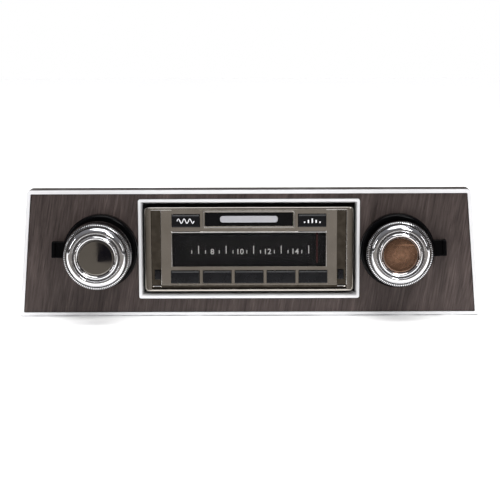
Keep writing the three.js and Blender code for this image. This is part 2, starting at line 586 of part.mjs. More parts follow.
function chassis() {
  const half = CHASSIS.width / 2;
  const wallInside = half - SHEET;
  const floorTop = CHASSIS.bottom + SHEET;
  const rearFront = CHASSIS.back - SHEET;
  const PANEL = { front: 8, back: 9.2 };
  const PANEL_OPENING = { halfWidth: 47, bottom: -18.9 };
  const SPACER = { radius: 3, top: -25.4, x: 76, near: 44, far: 102 };

  add('front_panel', build(
    [box(-half, half, PANEL.front, PANEL.back, CHASSIS.bottom, CHASSIS.top)],
    [
      box(-PANEL_OPENING.halfWidth, PANEL_OPENING.halfWidth, PANEL.front - PAST, PANEL.back + PAST,
        PANEL_OPENING.bottom, CHASSIS.top + PAST),
      ...Object.values(sides).map(
        (x) => disc(BUSHING.outer + GAP, PANEL.front - PAST, PANEL.back + PAST, x)),
    ],
  ), ZINC);

  const spacers = [-1, 1].flatMap((side) => [SPACER.near, SPACER.far].map((y) => new THREE.CylinderGeometry(
    SPACER.radius, SPACER.radius, SPACER.top - floorTop + 0.4, 16)
    .rotateX(Math.PI / 2).translate(side * SPACER.x, y, (SPACER.top + floorTop - 0.4) / 2)));
  const pastWall = half + PAST;
  const insideWall = wallInside - PAST;
  const sideHoles = SCREW.depths.flatMap((y) => [
    screwHole(insideWall, pastWall, y),
    screwHole(-pastWall, -insideWall, y),
  ]);
  add('chassis_tray', build(
    [
      box(-half, half, CHASSIS.front, CHASSIS.back, CHASSIS.bottom, floorTop),
      box(-half, -wallInside, CHASSIS.front, CHASSIS.back, CHASSIS.bottom, CHASSIS.top),
      box(wallInside, half, CHASSIS.front, CHASSIS.back, CHASSIS.bottom, CHASSIS.top),
      box(-half, half, rearFront, CHASSIS.back, CHASSIS.bottom, CHASSIS.top),
      ...spacers,
    ],
    [
      ...sideHoles,
      disc(REAR.antennaHole, rearFront - PAST, CHASSIS.back + PAST, ...REAR.antenna),
      disc(REAR.studHole, rearFront - PAST, CHASSIS.back + PAST, ...REAR.stud),
      box(WIRING.left - GAP, WIRING.right + GAP, rearFront - PAST, CHASSIS.back + PAST,
        WIRING.bottom - GAP, WIRING.top + GAP),
    ],
  ), ZINC);

  const COVER = { bottom: CHASSIS.top + GAP, lip: 10.5, notchHalf: 54.6, notchBack: 34.3 };
  const coverOut = half + GAP + SHEET;
  const coverTop = COVER.bottom + SHEET;
  const SLOT = { count: 9, pitch: 9, width: 2.4, near: 78, far: 104 };
  const slots = Array.from({ length: SLOT.count }, (_, i) => {
    const x = (i - (SLOT.count - 1) / 2) * SLOT.pitch;
    return box(x - SLOT.width / 2, x + SLOT.width / 2, SLOT.near, SLOT.far,
      COVER.bottom - PAST, coverTop + PAST);
  });
  add('top_cover', build(
    [
      box(-coverOut, coverOut, CHASSIS.front, CHASSIS.back, COVER.bottom, coverTop),
      box(-coverOut, -half - GAP, CHASSIS.front, CHASSIS.back, coverTop - COVER.lip, coverTop),
      box(half + GAP, coverOut, CHASSIS.front, CHASSIS.back, coverTop - COVER.lip, coverTop),
    ],
    [
      box(-COVER.notchHalf, COVER.notchHalf, CHASSIS.front - PAST, COVER.notchBack,
        COVER.bottom - PAST, coverTop + PAST),
      ...slots,
      ...SCREW.depths.flatMap((y) => [
        screwHole(half - PAST, coverOut + PAST, y),
        screwHole(-coverOut - PAST, -half + PAST, y),
      ]),
    ],
  ), ZINC);

  // Pan-head screws, two a side, through the cover's lip into the tray.
  const HEAD = { radius: 3, height: 1.6 };
  const SHANK = { radius: 1.5, length: 5.5 };
  [['left', -1], ['right', 1]].forEach(([side, sign]) => SCREW.depths.forEach((y, i) => {
    const screw = turned([
      [0, -SHANK.length], [SHANK.radius, -SHANK.length], [SHANK.radius, 0.1], [HEAD.radius, 0.1],
      [HEAD.radius * 0.9, HEAD.height * 0.7], [HEAD.radius * 0.6, HEAD.height], [0, HEAD.height],
    ], 0, 0, 16);
    screw.rotateZ(-sign * Math.PI / 2).translate(sign * coverOut, y, SCREW.height);
    add(`cover_screw_${side}_${i + 1}`, screw, STEEL);
  }));
}

function dialHood() {
  const halfWidth = NOSE.width / 2;
  const COLLAR = { front: -0.7, back: 7.7 };
  const RAISED = { bottom: 14.6, back: 33.9 };
  const BAFFLE = 4.5;
  const wall = SHEET;
  const outline = (inset) => rectangle(
    halfWidth - inset, NOSE.bottom + inset, NOSE.top - inset, NOSE.corner);
  // The baffle closes the gap round the nose behind the opening trim.
  add('dial_hood', build(
    [
      slabXZ(outline(0), COLLAR.front, COLLAR.back),
      slabXZ(outline(-BAFFLE), COLLAR.front, COLLAR.front + wall),
      box(-halfWidth, halfWidth, COLLAR.back - 0.5, RAISED.back, RAISED.bottom, NOSE.top),
    ],
    [
      slabXZ(outline(wall), COLLAR.front - PAST, COLLAR.back + PAST),
      box(-halfWidth + wall, halfWidth - wall, COLLAR.back - 1, RAISED.back - wall,
        RAISED.bottom - PAST, NOSE.top - wall),
    ],
  ), PLASTIC_BLACK);
}

// ---- electronics and rear connections -----------------------------------------------------------
function electronics() {
  const MAIN = { half: 84, front: 36, back: 110, bottom: -25.3, top: -23.7 };
  const ON_BOARD = MAIN.top + 0.1;
  const CAN = { left: -80, right: -44, front: 52, back: 96, top: -8 };
  const CHOKE = { x: 60, y: 56, radius: 9, winding: 7, flange: 2, top: -9 };
  const CAPACITOR = { x: 24, y: 60, radius: 6.5, groove: 0.4, grooveHeight: 1.4, top: -0.4 };
  const board = box(-MAIN.half, MAIN.half, MAIN.front, MAIN.back, MAIN.bottom, MAIN.top);
  add('main_board', tidy(board), BOARD_GREEN);
  add('tuner_can', tidy(box(CAN.left, CAN.right, CAN.front, CAN.back, ON_BOARD, CAN.top)), STEEL);

  // Turns a profile of [radius, z] about an upright axis.
  const UPRIGHT_SEGMENTS = 20;
  const upright = (profile, { x, y }) => {
    const points = profile.map(([radius, z]) => new THREE.Vector2(radius, z));
    const turnedShape = tidy(new THREE.LatheGeometry(points, UPRIGHT_SEGMENTS));
    return turnedShape.rotateX(Math.PI / 2).translate(x, y, 0);
  };
  add('power_choke', upright([
    [0, ON_BOARD],
    [CHOKE.radius, ON_BOARD],
    [CHOKE.radius, ON_BOARD + CHOKE.flange],
    [CHOKE.winding, ON_BOARD + CHOKE.flange],
    [CHOKE.winding, CHOKE.top - CHOKE.flange],
    [CHOKE.radius, CHOKE.top - CHOKE.flange],
    [CHOKE.radius, CHOKE.top],
    [0, CHOKE.top],
  ], CHOKE), BLACK_SATIN);
  const grooveZ = ON_BOARD + CAPACITOR.grooveHeight;
  add('filter_capacitor', upright([
    [0, ON_BOARD],
    [CAPACITOR.radius, ON_BOARD],
    [CAPACITOR.radius, grooveZ - CAPACITOR.groove],
    [CAPACITOR.radius - CAPACITOR.groove, grooveZ],
    [CAPACITOR.radius, grooveZ + CAPACITOR.groove],
    [CAPACITOR.radius, CAPACITOR.top],
    [0, CAPACITOR.top],
  ], CAPACITOR), PLASTIC_BLACK);

  const CHIP = { left: -26, right: 6, front: 107.6, back: 112.5, bottom: -19, top: 4 };
  const LEG = { count: 9, margin: 3, half: 0.4, front: 108.4, back: 109.2 };
  const legs = Array.from({ length: LEG.count }, (_, i) => {
    const x = THREE.MathUtils.lerp(CHIP.left + LEG.margin, CHIP.right - LEG.margin, i / (LEG.count - 1));
    return box(x - LEG.half, x + LEG.half, LEG.front, LEG.back, ON_BOARD, CHIP.bottom + 0.5);
  });
  add('amplifier_chip', build(
    [box(CHIP.left, CHIP.right, CHIP.front, CHIP.back, CHIP.bottom, CHIP.top), ...legs],
  ), PLASTIC_BLACK);

  // Finned heat sink on the outside of the rear wall.
  const SINK = { left: -36, right: 16, base: 117, back: 128, bottom: -26, top: 11 };
  const FINS = 9;
  const FIN_HALF = 0.8;
  const fins = Array.from({ length: FINS }, (_, i) => {
    const x = THREE.MathUtils.lerp(SINK.left + FIN_HALF, SINK.right - FIN_HALF, i / (FINS - 1));
    return box(x - FIN_HALF, x + FIN_HALF, SINK.base - 0.5, SINK.back, SINK.bottom, SINK.top);
  });
  add('heat_sink', build(
    [box(SINK.left, SINK.right, CHASSIS.back + 0.1, SINK.base, SINK.bottom, SINK.top), ...fins],
  ), ALUMINIUM);

  add('antenna_socket', turned([
    [0, 105], [5.2, 105], [5.2, 114.3], [8, 114.3], [8, 115.8], [5.4, 115.8], [5.4, 121], [4.1, 121],
    [4.1, 107], [0, 107],
  ], ...REAR.antenna), STEEL);

  const SHELL = 1.5;
  const SOCKET = { front: 100, floor: 104, back: 118, pinBack: 111, footBack: 108 };
  const PIN = { rows: [-14.4, -7.6], columns: 6, margin: 5, half: 0.6 };
  const pins = PIN.rows.flatMap((z) => Array.from({ length: PIN.columns }, (_, i) => {
    const x = THREE.MathUtils.lerp(WIRING.left + PIN.margin, WIRING.right - PIN.margin,
      i / (PIN.columns - 1));
    return box(x - PIN.half, x + PIN.half, SOCKET.floor - 0.5, SOCKET.pinBack,
      z - PIN.half, z + PIN.half);
  }));
  const block = box(WIRING.left, WIRING.right, SOCKET.front, SOCKET.back, WIRING.bottom, WIRING.top);
  const cavity = box(WIRING.left + SHELL, WIRING.right - SHELL, SOCKET.floor, SOCKET.back + PAST,
    WIRING.bottom + SHELL, WIRING.top - SHELL);
  const foot = box(WIRING.left + SHELL, WIRING.right - SHELL, SOCKET.front, SOCKET.footBack,
    ON_BOARD, WIRING.bottom + 0.5);
  const shell = solidOf(block).subtract(solidOf(cavity));
  const whole = [foot, ...pins].reduce((sum, part) => sum.add(solidOf(part)), shell);
  add('wiring_socket', geometryOf(whole), NYLON);

  const [studX, studZ] = REAR.stud;
  add('rear_stud', turned([
    [0, 110.2], [5.5, 110.2], [5.5, 112.5], [3, 112.5], [3, 127], [2.4, 127.8], [0, 127.8],
  ], studX, studZ), STEEL);
  add('rear_stud_nut', tubeWithHexagon(5.8, 3.3, 114.3, 119, studX, studZ), ZINC);

  // Ribbon cable from the switch board back to the main board.
  const RIBBON_HALF = { width: 12, thickness: 0.4 };
  const ROUTE = [[-2.2, -11], [0.4, -14.6], [8, -16.2], [20, -17.6], [32, -20.2], [40, -23]];
  const ROUTE_STEPS = 16;
  const route = new THREE.SplineCurve(ROUTE.map(([y, z]) => new THREE.Vector2(y, z)));
  const stations = Array.from({ length: ROUTE_STEPS + 1 }, (_, i) => {
    const point = route.getPoint(i / ROUTE_STEPS);
    const along = route.getTangent(i / ROUTE_STEPS);
    return { point, across: new THREE.Vector2(-along.y, along.x).multiplyScalar(RIBBON_HALF.thickness) };
  });
  const upper = stations.map(({ point, across }) => point.clone().add(across).toArray());
  const lower = stations.map(({ point, across }) => point.clone().sub(across).toArray());
  add('ribbon_cable', tidy(slabYZ([...lower, ...upper.reverse()], -RIBBON_HALF.width, RIBBON_HALF.width)),
    RIBBON_GREY);
}

facePlate();
noseBezel();
badge();
dial();
pointer();
cordDrive();
buttons();
switchBoard();
control('left');
control('right');
chassis();
dialHood();
electronics();

export default radio;
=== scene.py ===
import json
import math

import bmesh
import bpy
from mathutils import Matrix, Vector


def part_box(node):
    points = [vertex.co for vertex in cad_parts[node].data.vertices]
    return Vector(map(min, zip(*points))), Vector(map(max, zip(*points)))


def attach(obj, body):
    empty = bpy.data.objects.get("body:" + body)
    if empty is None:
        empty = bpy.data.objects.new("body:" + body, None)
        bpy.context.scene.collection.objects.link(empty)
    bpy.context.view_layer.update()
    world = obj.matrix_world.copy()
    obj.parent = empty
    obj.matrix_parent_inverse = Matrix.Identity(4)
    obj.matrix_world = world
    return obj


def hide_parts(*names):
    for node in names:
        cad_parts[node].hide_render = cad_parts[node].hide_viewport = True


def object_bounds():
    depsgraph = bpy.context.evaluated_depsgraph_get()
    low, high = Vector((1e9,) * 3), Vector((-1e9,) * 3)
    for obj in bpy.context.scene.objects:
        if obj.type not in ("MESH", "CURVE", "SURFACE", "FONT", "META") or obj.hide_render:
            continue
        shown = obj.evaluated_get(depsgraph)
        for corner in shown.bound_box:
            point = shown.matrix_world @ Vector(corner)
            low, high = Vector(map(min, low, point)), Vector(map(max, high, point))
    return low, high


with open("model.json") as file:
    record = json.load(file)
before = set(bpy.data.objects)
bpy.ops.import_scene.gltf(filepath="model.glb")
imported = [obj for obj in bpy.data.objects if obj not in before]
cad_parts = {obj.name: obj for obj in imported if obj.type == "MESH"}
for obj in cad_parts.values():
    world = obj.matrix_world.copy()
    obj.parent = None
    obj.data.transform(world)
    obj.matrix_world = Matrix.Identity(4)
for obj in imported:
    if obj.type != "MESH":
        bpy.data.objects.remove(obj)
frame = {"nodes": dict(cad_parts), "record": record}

MM = 0.001
CAD_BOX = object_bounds()
RECORD = frame["record"]
SLOT_OF = {part["node"]: part["material_slot"] for part in RECORD["subparts"]}
BODY_OF = {node: body for body, nodes in RECORD["behaviour"]["bodies"].items() for node in nodes}


def middle(node):
    low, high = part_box(node)
    return (low + high) / 2


def reach(node, axis="y"):
    """Where a node starts and ends along an axis, in millimetres."""
    low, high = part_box(node)
    return getattr(low, axis) / MM, getattr(high, axis) / MM


LEFT_AXIS = middle("left_sleeve")
RIGHT_AXIS = middle("right_sleeve")
AXIS_Z = LEFT_AXIS.z
AXIS = AXIS_Z / MM
KNURLS = 108                    # grooves round each knob's skirt
SHARP = math.radians(30)


# ---- meshes ----
def mark_edges(bm, angle):
    """Smooth shading everywhere except across edges sharper than the angle."""
    limit = math.radians(angle)
    for face in bm.faces:
        face.smooth = True
    for edge in bm.edges:
        edge.smooth = not (len(edge.link_faces) == 2 and edge.calc_face_angle(0) > limit)


def add_object(name, data):
    obj = bpy.data.objects.new(name, data)
    bpy.context.scene.collection.objects.link(obj)
    return obj


def new_object(name, bm, angle=38):
    bmesh.ops.recalc_face_normals(bm, faces=bm.faces)
    mark_edges(bm, angle)
    mesh = bpy.data.meshes.new(name)
    bm.to_mesh(mesh)
    bm.free()
    return add_object(name, mesh)


def evaluated(obj):
    """The object's mesh with its modifiers or its lettering worked out."""
    bpy.context.view_layer.update()
    depsgraph = bpy.context.evaluated_depsgraph_get()
    return bpy.data.meshes.new_from_object(obj.evaluated_get(depsgraph))


def flat_normals(obj):
    """Keeps broad faces flat where narrow bevels meet them."""
    weighted = obj.modifiers.new("weighted normals", "WEIGHTED_NORMAL")
    weighted.keep_sharp = True
    weighted.weight = 80


def finish_piece(obj, look, node=None, body=None, slot=None, replaces=()):
    """Gives a piece its material and its body; the slot argument is not used."""
    obj.data.materials.clear()
    obj.data.materials.append(look)
    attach(obj, body or BODY_OF[node])
    if replaces:
        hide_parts(*replaces)


def merge_flats(bm):
    """Joins coplanar faces, so that a bevel finds whole edges."""
    bmesh.ops.remove_doubles(bm, verts=bm.verts, dist=1e-6)
    bmesh.ops.dissolve_limit(bm, angle_limit=math.radians(1), verts=bm.verts, edges=bm.edges)


def round_edges(bm, edges, width, segments):
    """Width is in millimetres."""
    bmesh.ops.bevel(bm, geom=edges, offset=width * MM, segments=segments, profile=0.5,
                    affect="EDGES", clamp_overlap=True)


def bevel_sharp(bm, width, segments):
    """Rounds every sharp edge."""
    merge_flats(bm)
    sharp = [e for e in bm.edges if len(e.link_faces) == 2 and e.calc_face_angle(0) > SHARP]
    round_edges(bm, sharp, width, segments)


def bevel_outline(bm, node, width):
    """Rounds the front face's outer edge. The outline's own corners are smaller than CORNER."""
    CORNER = 2.3 * MM
    low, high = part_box(node)
    centre, half = (low + high) / 2, (high - low) / 2
    merge_flats(bm)

    def outermost(vert):
        across = half.x - abs(vert.co.x - centre.x)
        rise = half.z - abs(vert.co.z - centre.z)
        return abs(vert.co.y - low.y) < 1e-5 and (across < 1e-5 or rise < 1e-5 or across + rise < CORNER)

    edges = [e for e in bm.edges if outermost(e.verts[0]) and outermost(e.verts[1])
             and e.calc_face_angle(0) > SHARP]
    round_edges(bm, edges, width, 5)


def bevelled(name, bm, look, width, segments, **ties):
    """A solid with its sharp edges rounded; the ties go to finish_piece."""
    bevel_sharp(bm, width, segments)
    obj = new_object(name, bm)
    flat_normals(obj)
    finish_piece(obj, look, **ties)


def refined(node, look, width, segments, outer=0):
    """The CAD node's own shape with its edges rounded. The front's outline may be rounded more."""
    bm = bmesh.new()
    bm.from_mesh(frame["nodes"][node].data)
    if outer:
        bevel_outline(bm, node, outer)
    bevelled(node + "_finished", bm, look, width, segments, node=node, replaces=(node,))


def add_box(bm, low, high):
    """A box between two corners, in millimetres."""
    low, high = Vector(low) * MM, Vector(high) * MM
    verts = bmesh.ops.create_cube(bm, size=1)["verts"]
    bmesh.ops.scale(bm, vec=high - low, verts=verts)
    bmesh.ops.translate(bm, vec=(low + high) / 2, verts=verts)


def box_piece(name, look, low, high, body, slot, width, segments):
    bm = bmesh.new()
    add_box(bm, low, high)
    bevelled(name, bm, look, width, segments, body=body, slot=slot)


def smooth_profile(points, steps):
    """Runs a curve through (radius, along) points; a point written twice in a row stays a corner."""
    runs = [[points[0]]]
    for point in points[1:]:
        if point == runs[-1][-1]:
            runs.append([point])
        else:
            runs[-1].append(point)
    out = []
    for run in runs:
        ends = [Vector(point) for point in run[:1] + run + run[-1:]]
        for p0, p1, p2, p3 in zip(ends, ends[1:], ends[2:], ends[3:]):
            for k in range(steps):
                t = k / steps
                spot = 0.5 * (2 * p1 + (p2 - p0) * t + (2 * p0 - 5 * p1 + 4 * p2 - p3) * t * t
                              + (3 * p1 - p0 - 3 * p2 + p3) * t * t * t)
                out.append((max(spot.x, 0.0), spot.y))
        out.append(run[-1])
    clean = out[:1]
    for point in out[1:]:
        if (Vector(point) - Vector(clean[-1])).length > 1e-4:
            clean.append(point)
    return clean


TO_AXIS = {
    "y": lambda a, u, v: (u, a, v),
    "x": lambda a, u, v: (a, u, v),
    "z": lambda a, u, v: (u, v, a),
}


def skin(bm, rings, closed, caps=True):
    """Walls between rings of vertices; a ring may be one point. Open runs may have end caps."""
    sides = max(len(ring) for ring in rings)
    for one, two in zip(rings, rings[1:] + rings[:1] if closed else rings[1:]):
        for k in range(sides):
            after = (k + 1) % sides
            if len(one) == 1 and len(two) == 1:
                break
            if len(one) == 1:
                bm.faces.new((one[0], two[k], two[after]))
            elif len(two) == 1:
                bm.faces.new((one[k], one[after], two[0]))
            else:
                bm.faces.new((one[k], one[after], two[after], two[k]))
    if caps and not closed:
        bm.faces.new(rings[0])
        bm.faces.new(rings[-1])


def crosswise(points, i):
    """The unit vector across an open run of points at one of them."""
    before, after = Vector(points[max(i - 1, 0)]), Vector(points[min(i + 1, len(points) - 1)])
    along = (after - before).normalized()
    return Vector((-along.y, along.x))


def wire_ring(bm, spot, across, radius, sides):
    """A ring of vertices about a spot (x, y, z) of a wire that runs in a plane across Y."""
    ring = []
    for k in range(sides):
        a = 2 * math.pi * k / sides
        side = across * math.cos(a)
        ring.append(bm.verts.new((
            (spot[0] + side.x) * MM, (spot[1] + radius * math.sin(a)) * MM, (spot[2] + side.y) * MM)))
    return ring


def add_lathe(bm, profile, centre, axis="y", segments=96, shape=None):
    """Revolves (radius, along) points in millimetres about an axis through the centre, in metres.
    along is a place on the axis. shape(radius, along, angle) may change the radius."""
    place = TO_AXIS[axis]
    base = Vector(centre)
    base["xyz".index(axis)] = 0
    closed = profile[0] == profile[-1]
    rings = []
    for radius, along in profile[:-1] if closed else profile:
        if radius < 1e-6:
            rings.append([bm.verts.new(Vector(place(along * MM, 0, 0)) + base)])
            continue
        ring = []
        for k in range(segments):
            angle = 2 * math.pi * k / segments
            r = shape(radius, along, angle) if shape else radius
            point = Vector(place(along * MM, r * MM * math.cos(angle), r * MM * math.sin(angle)))
            ring.append(bm.verts.new(point + base))
        rings.append(ring)
    skin(bm, rings, closed, caps=False)


def lathe(node, ending, profile, look, centre=None, axis="y", segments=96, shape=None, angle=38):
    """The CAD node's turned shape, about the node's own middle unless a centre is given."""
    bm = bmesh.new()
    add_lathe(bm, profile, middle(node) if centre is None else centre, axis, segments, shape)
    finish_piece(new_object(node + ending, bm, angle), look, node=node, replaces=(node,))


def chamfered(radius, start, end):
    """A solid round bar's profile with a small chamfer at each end."""
    CHAMFER = 0.25
    return [(0, start), (radius - CHAMFER, start), (radius, start + CHAMFER),
            (radius, end - CHAMFER), (radius - CHAMFER, end), (0, end)]


def sleeve_profile(outer, inner, start, end):
    """A tube's closed profile with its rims chamfered."""
    CHAMFER = 0.2
    near, far = start + CHAMFER, end - CHAMFER
    return [(inner, near), (inner + CHAMFER, start), (outer - CHAMFER, start), (outer, near),
            (outer, far), (outer - CHAMFER, end), (inner + CHAMFER, end), (inner, far), (inner, near)]


def threaded(radius, start, end, pitch=0.75, depth=0.32):
    """Thread crests and roots along a bar's wall."""
    count = int((end - start) / pitch)
    points = []
    for i in range(count):
        points.append((radius - depth, start + i * pitch))
        points.append((radius, start + (i + 0.5) * pitch))
    points.append((radius - depth, start + count * pitch))
    return points


# ---- materials ----
class Look:
    """A Principled material with procedural colour, roughness and bump."""

    def __init__(self, name, colour, roughness, metallic=0.0, specular=0.5):
        self.material = bpy.data.materials.new(name)
        self.material.use_nodes = True
        self.nodes = self.material.node_tree.nodes
        self.links = self.material.node_tree.links
        self.shader = self.nodes["Principled BSDF"]
        self.shader.inputs["Base Color"].default_value = (*colour, 1)
        self.shader.inputs["Roughness"].default_value = roughness
        self.shader.inputs["Metallic"].default_value = metallic
        self.shader.inputs["Specular IOR Level"].default_value = specular
        self.colour = colour
        self.coords = self.nodes.new("ShaderNodeTexCoord").outputs["Object"]
        self.height = None

    def add(self, kind, **values):
        """A node of that kind with its inputs set by name, an underscore standing for a space."""
        node = self.nodes.new("ShaderNode" + kind)
        for name, value in values.items():
            self.feed(node.inputs[name.replace("_", " ")], value)
        return node

    def feed(self, socket, value):
        """Links another node's output to a socket, or sets the socket's constant."""
        if isinstance(value, bpy.types.NodeSocket):
            self.links.new(value, socket)
        else:
            socket.default_value = value

    def place(self, scale=(1, 1, 1), turn=(0, 0, 0), shift=(0, 0, 0), kind="POINT"):
        mapping = self.add("Mapping", Vector=self.coords, Scale=scale, Rotation=turn, Location=shift)
        mapping.vector_type = kind
        return mapping.outputs["Vector"]

    def leaning(self, lean, stretch):
        """Object coordinates turned by the lean first, then drawn out along the turned height."""
        return self.place((1, 1, stretch), (0, lean, 0), kind="TEXTURE")

    def axes(self, vector=None):
        """A vector's X, Y and Z; the object coordinates' unless one is given."""
        split = self.add("SeparateXYZ", Vector=vector or self.coords)
        return [split.outputs[letter] for letter in "XYZ"]

    def noise(self, scale, detail=4, roughness=0.55, distortion=0, vector=None):
        return self.add("TexNoise", Vector=vector or self.place(), Scale=scale, Detail=detail,
                        Roughness=roughness, Distortion=distortion).outputs["Fac"]

    def noise_along(self, distance, scale, detail):
        """Noise that changes with one distance only."""
        node = self.add("TexNoise", Scale=scale, Detail=detail)
        node.noise_dimensions = "1D"
        self.links.new(distance, node.inputs["W"])
        return node.outputs["Fac"]

    def ramp(self, fac, stops):
        node = self.nodes.new("ShaderNodeValToRGB")
        elements = node.color_ramp.elements
        elements[0].position, elements[1].position = stops[0][0], stops[-1][0]
        elements[0].color, elements[1].color = (*stops[0][1], 1), (*stops[-1][1], 1)
        for position, colour in stops[1:-1]:
            elements.new(position).color = (*colour, 1)
        self.links.new(fac, node.inputs["Fac"])
        return node.outputs["Color"]

    def mask(self, fac, low, high):
        """Zero at low, one at high, clamped outside."""
        return self.add("MapRange", Value=fac, From_Min=low, From_Max=high).outputs["Result"]

    def band(self, fac, low, high):
        """One between low and high and zero outside, with soft edges inside the band."""
        SOFT = 0.0002
        return self.times(self.mask(fac, low, low + SOFT), self.mask(fac, high, high - SOFT))

    def maths(self, kind, a, b):
        node = self.add("Math")
        node.operation = kind
        self.feed(node.inputs[0], a)
        self.feed(node.inputs[1], b)
        return node.outputs["Value"]

    def times(self, a, b):
        return self.maths("MULTIPLY", a, b)

    def plus(self, a, b):
        return self.maths("ADD", a, b)

    def larger(self, a, b):
        return self.maths("MAXIMUM", a, b)

    def mix(self, fac, a, b):
        """a where fac is zero and b where it is one; b may be a plain colour."""
        node = self.add("Mix", Factor=fac)
        node.data_type = "RGBA"
        self.feed(node.inputs[6], a)
        self.feed(node.inputs[7], (*b, 1) if isinstance(b, tuple) else b)
        return node.outputs[2]

    def colour_from(self, output):
        self.links.new(output, self.shader.inputs["Base Color"])

    def glow(self, colour, strength):
        self.shader.inputs["Emission Color"].default_value = colour
        self.shader.inputs["Emission Strength"].default_value = strength

    def mottled(self, scale, amount):
        """Varies the colour about its own value."""
        light = tuple(min(c * (1 + amount), 1) for c in self.colour)
        dark = tuple(c * (1 - amount) for c in self.colour)
        self.colour_from(self.ramp(self.noise(scale, 5), [(0.3, dark), (0.7, light)]))

    def rough(self, low, high, scale, vector=None):
        node = self.add("MapRange", Value=self.noise(scale, vector=vector), From_Min=0.35, From_Max=0.65,
                        To_Min=low, To_Max=high)
        self.links.new(node.outputs["Result"], self.shader.inputs["Roughness"])

    def bump(self, height, strength, depth):
        """Adds a bump of that depth, in millimetres, on top of any before it."""
        below = {"Normal": self.height} if self.height else {}
        node = self.add("Bump", Height=height, Strength=strength, Distance=depth * MM, **below)
        self.height = node.outputs["Normal"]
        self.links.new(self.height, self.shader.inputs["Normal"])


def plain(name, colour, roughness, metallic=0.0, specular=0.5, mottle=(220, 0.12), rough=(0.8, 1.2, 160),
          grain=(1400, 3), stretch=(1, 1, 1), bump=(0.05, 0.05)):
    """A mottled, uneven surface with a fine grain. rough holds two shares of the roughness and a
    scale; bump a strength and a depth."""
    look = Look(name, colour, roughness, metallic, specular)
    look.mottled(*mottle)
    low, high, scale = rough
    look.rough(roughness * low, roughness * high, scale)
    look.bump(look.noise(*grain, vector=look.place(scale=stretch)), *bump)
    return look.material


def chrome(name, colour, roughness):
    look = Look(name, colour, roughness, metallic=1)
    look.rough(roughness * 0.6, roughness * 1.8, 180)
    look.mottled(90, 0.03)
    scratches = look.noise(900, 2, vector=look.place(scale=(1, 1, 0.05), turn=(0, 0.4, 0)))
    look.bump(look.mask(scratches, 0.4, 0.62), 0.012, 0.01)
    return look.material


def radius_about(look, centre):
    """Distance from an axis parallel to Y, and the angle round it."""
    x, _, z = look.axes(look.place(shift=(-centre.x, 0, -centre.z)))
    square = look.plus(look.times(x, x), look.times(z, z))
    return look.maths("SQRT", square, 0), look.maths("ARCTAN2", z, x)


def knob_chrome(name, centre):
    """Bright chrome with painted shade between the knurls, in the grooves and on the skirt's outer side.
    Radii in metres.
    """
    SHOULDER, SIDE = (0.01545, 0.01570), (0.01660, 0.01700)
    INNER_GROOVE, OUTER_GROOVE = (0.01135, 0.01200), (0.01500, 0.01565)
    look = Look(name, (0.86, 0.86, 0.88), 0.045, metallic=1)
    radius, angle = radius_about(look, centre)
    clean = look.ramp(look.noise(120, 4), [(0.3, (0.80, 0.80, 0.82)), (0.7, (0.90, 0.90, 0.92))])
    # Painted shade: a dark colour laid between the knurls, in the two grooves and on the outer side.
    dull = look.ramp(look.noise(700, 3), [(0.3, (0.05, 0.05, 0.055)), (0.7, (0.11, 0.11, 0.115))])
    between = look.mask(look.maths("COSINE", look.times(angle, KNURLS), 0), 0.45, -0.35)
    knurl_shade = look.times(look.mask(radius, *SHOULDER), between)
    side = look.times(look.mask(radius, *SIDE), 0.75)
    inner = look.times(look.band(radius, *INNER_GROOVE), 0.6)
    grooves = look.larger(inner, look.band(radius, *OUTER_GROOVE))
    look.colour_from(look.mix(look.larger(look.larger(knurl_shade, side), grooves), clean, dull))
    look.rough(0.03, 0.075, 240)
    look.bump(look.noise(420, 2), 0.015, 0.01)
    return look.material


def bright_trim():
    """Trim strip coloured pale all over as a painted reflection of white surroundings, with a weak
    mirror and painted shade along its lowest edge.
    """
    SHADE_FROM, SHADE_FULL = 0.55, 0.15
    look = Look("bright trim", (0.84, 0.84, 0.855), 0.16, metallic=0.15, specular=0.6)
    # Painted reflection: the pale colour stands for the white surroundings that chrome trim would
    # mirror.
    clean = look.ramp(look.noise(70, 5), [(0.3, (0.81, 0.81, 0.825)), (0.7, (0.87, 0.87, 0.885))])
    # Painted shade: the colour turns dark within about half a millimetre of the trim's lowest edge.
    foot = CAD_BOX[0].z
    edge = look.mask(look.axes()[2], foot + SHADE_FROM * MM, foot + SHADE_FULL * MM)
    foot_shade = look.times(edge, look.mask(look.noise(45, 5), 0.3, 0.55))
    look.colour_from(look.mix(foot_shade, clean, (0.14, 0.145, 0.155)))
    look.rough(0.1, 0.24, 160)
    look.bump(look.noise(1600, 2, vector=look.place(scale=(0.03, 1, 1))), 0.05, 0.01)
    return look.material


def nose_chrome():
    """Plated die casting with painted shade: its recessed floors and outer strips are coloured darker.
    """
    FACE, FLOOR = -0.0129, -0.0116
    STRIP, EDGE, STRIP_SHADE = 0.0505, 0.0535, 0.74
    look = Look("nose chrome", (0.74, 0.70, 0.65), 0.06, metallic=1)
    x, y, _ = look.axes()
    # Painted shade: colour darkens from the front face into the recesses, and along the outer strips.
    recess = look.mask(y, FACE, FLOOR)
    strip_shade = look.times(look.mask(look.maths("ABSOLUTE", x, 0), STRIP, EDGE), STRIP_SHADE)
    bright = look.ramp(look.noise(120, 4), [(0.3, (0.52, 0.485, 0.44)), (0.7, (0.60, 0.565, 0.52))])
    dull = look.ramp(look.noise(300, 3), [(0.3, (0.12, 0.105, 0.086)), (0.7, (0.20, 0.178, 0.15))])
    look.colour_from(look.mix(look.larger(recess, strip_shade), bright, dull))
    look.rough(0.04, 0.10, 160)
    look.bump(look.noise(500, 2), 0.04, 0.01)
    return look.material


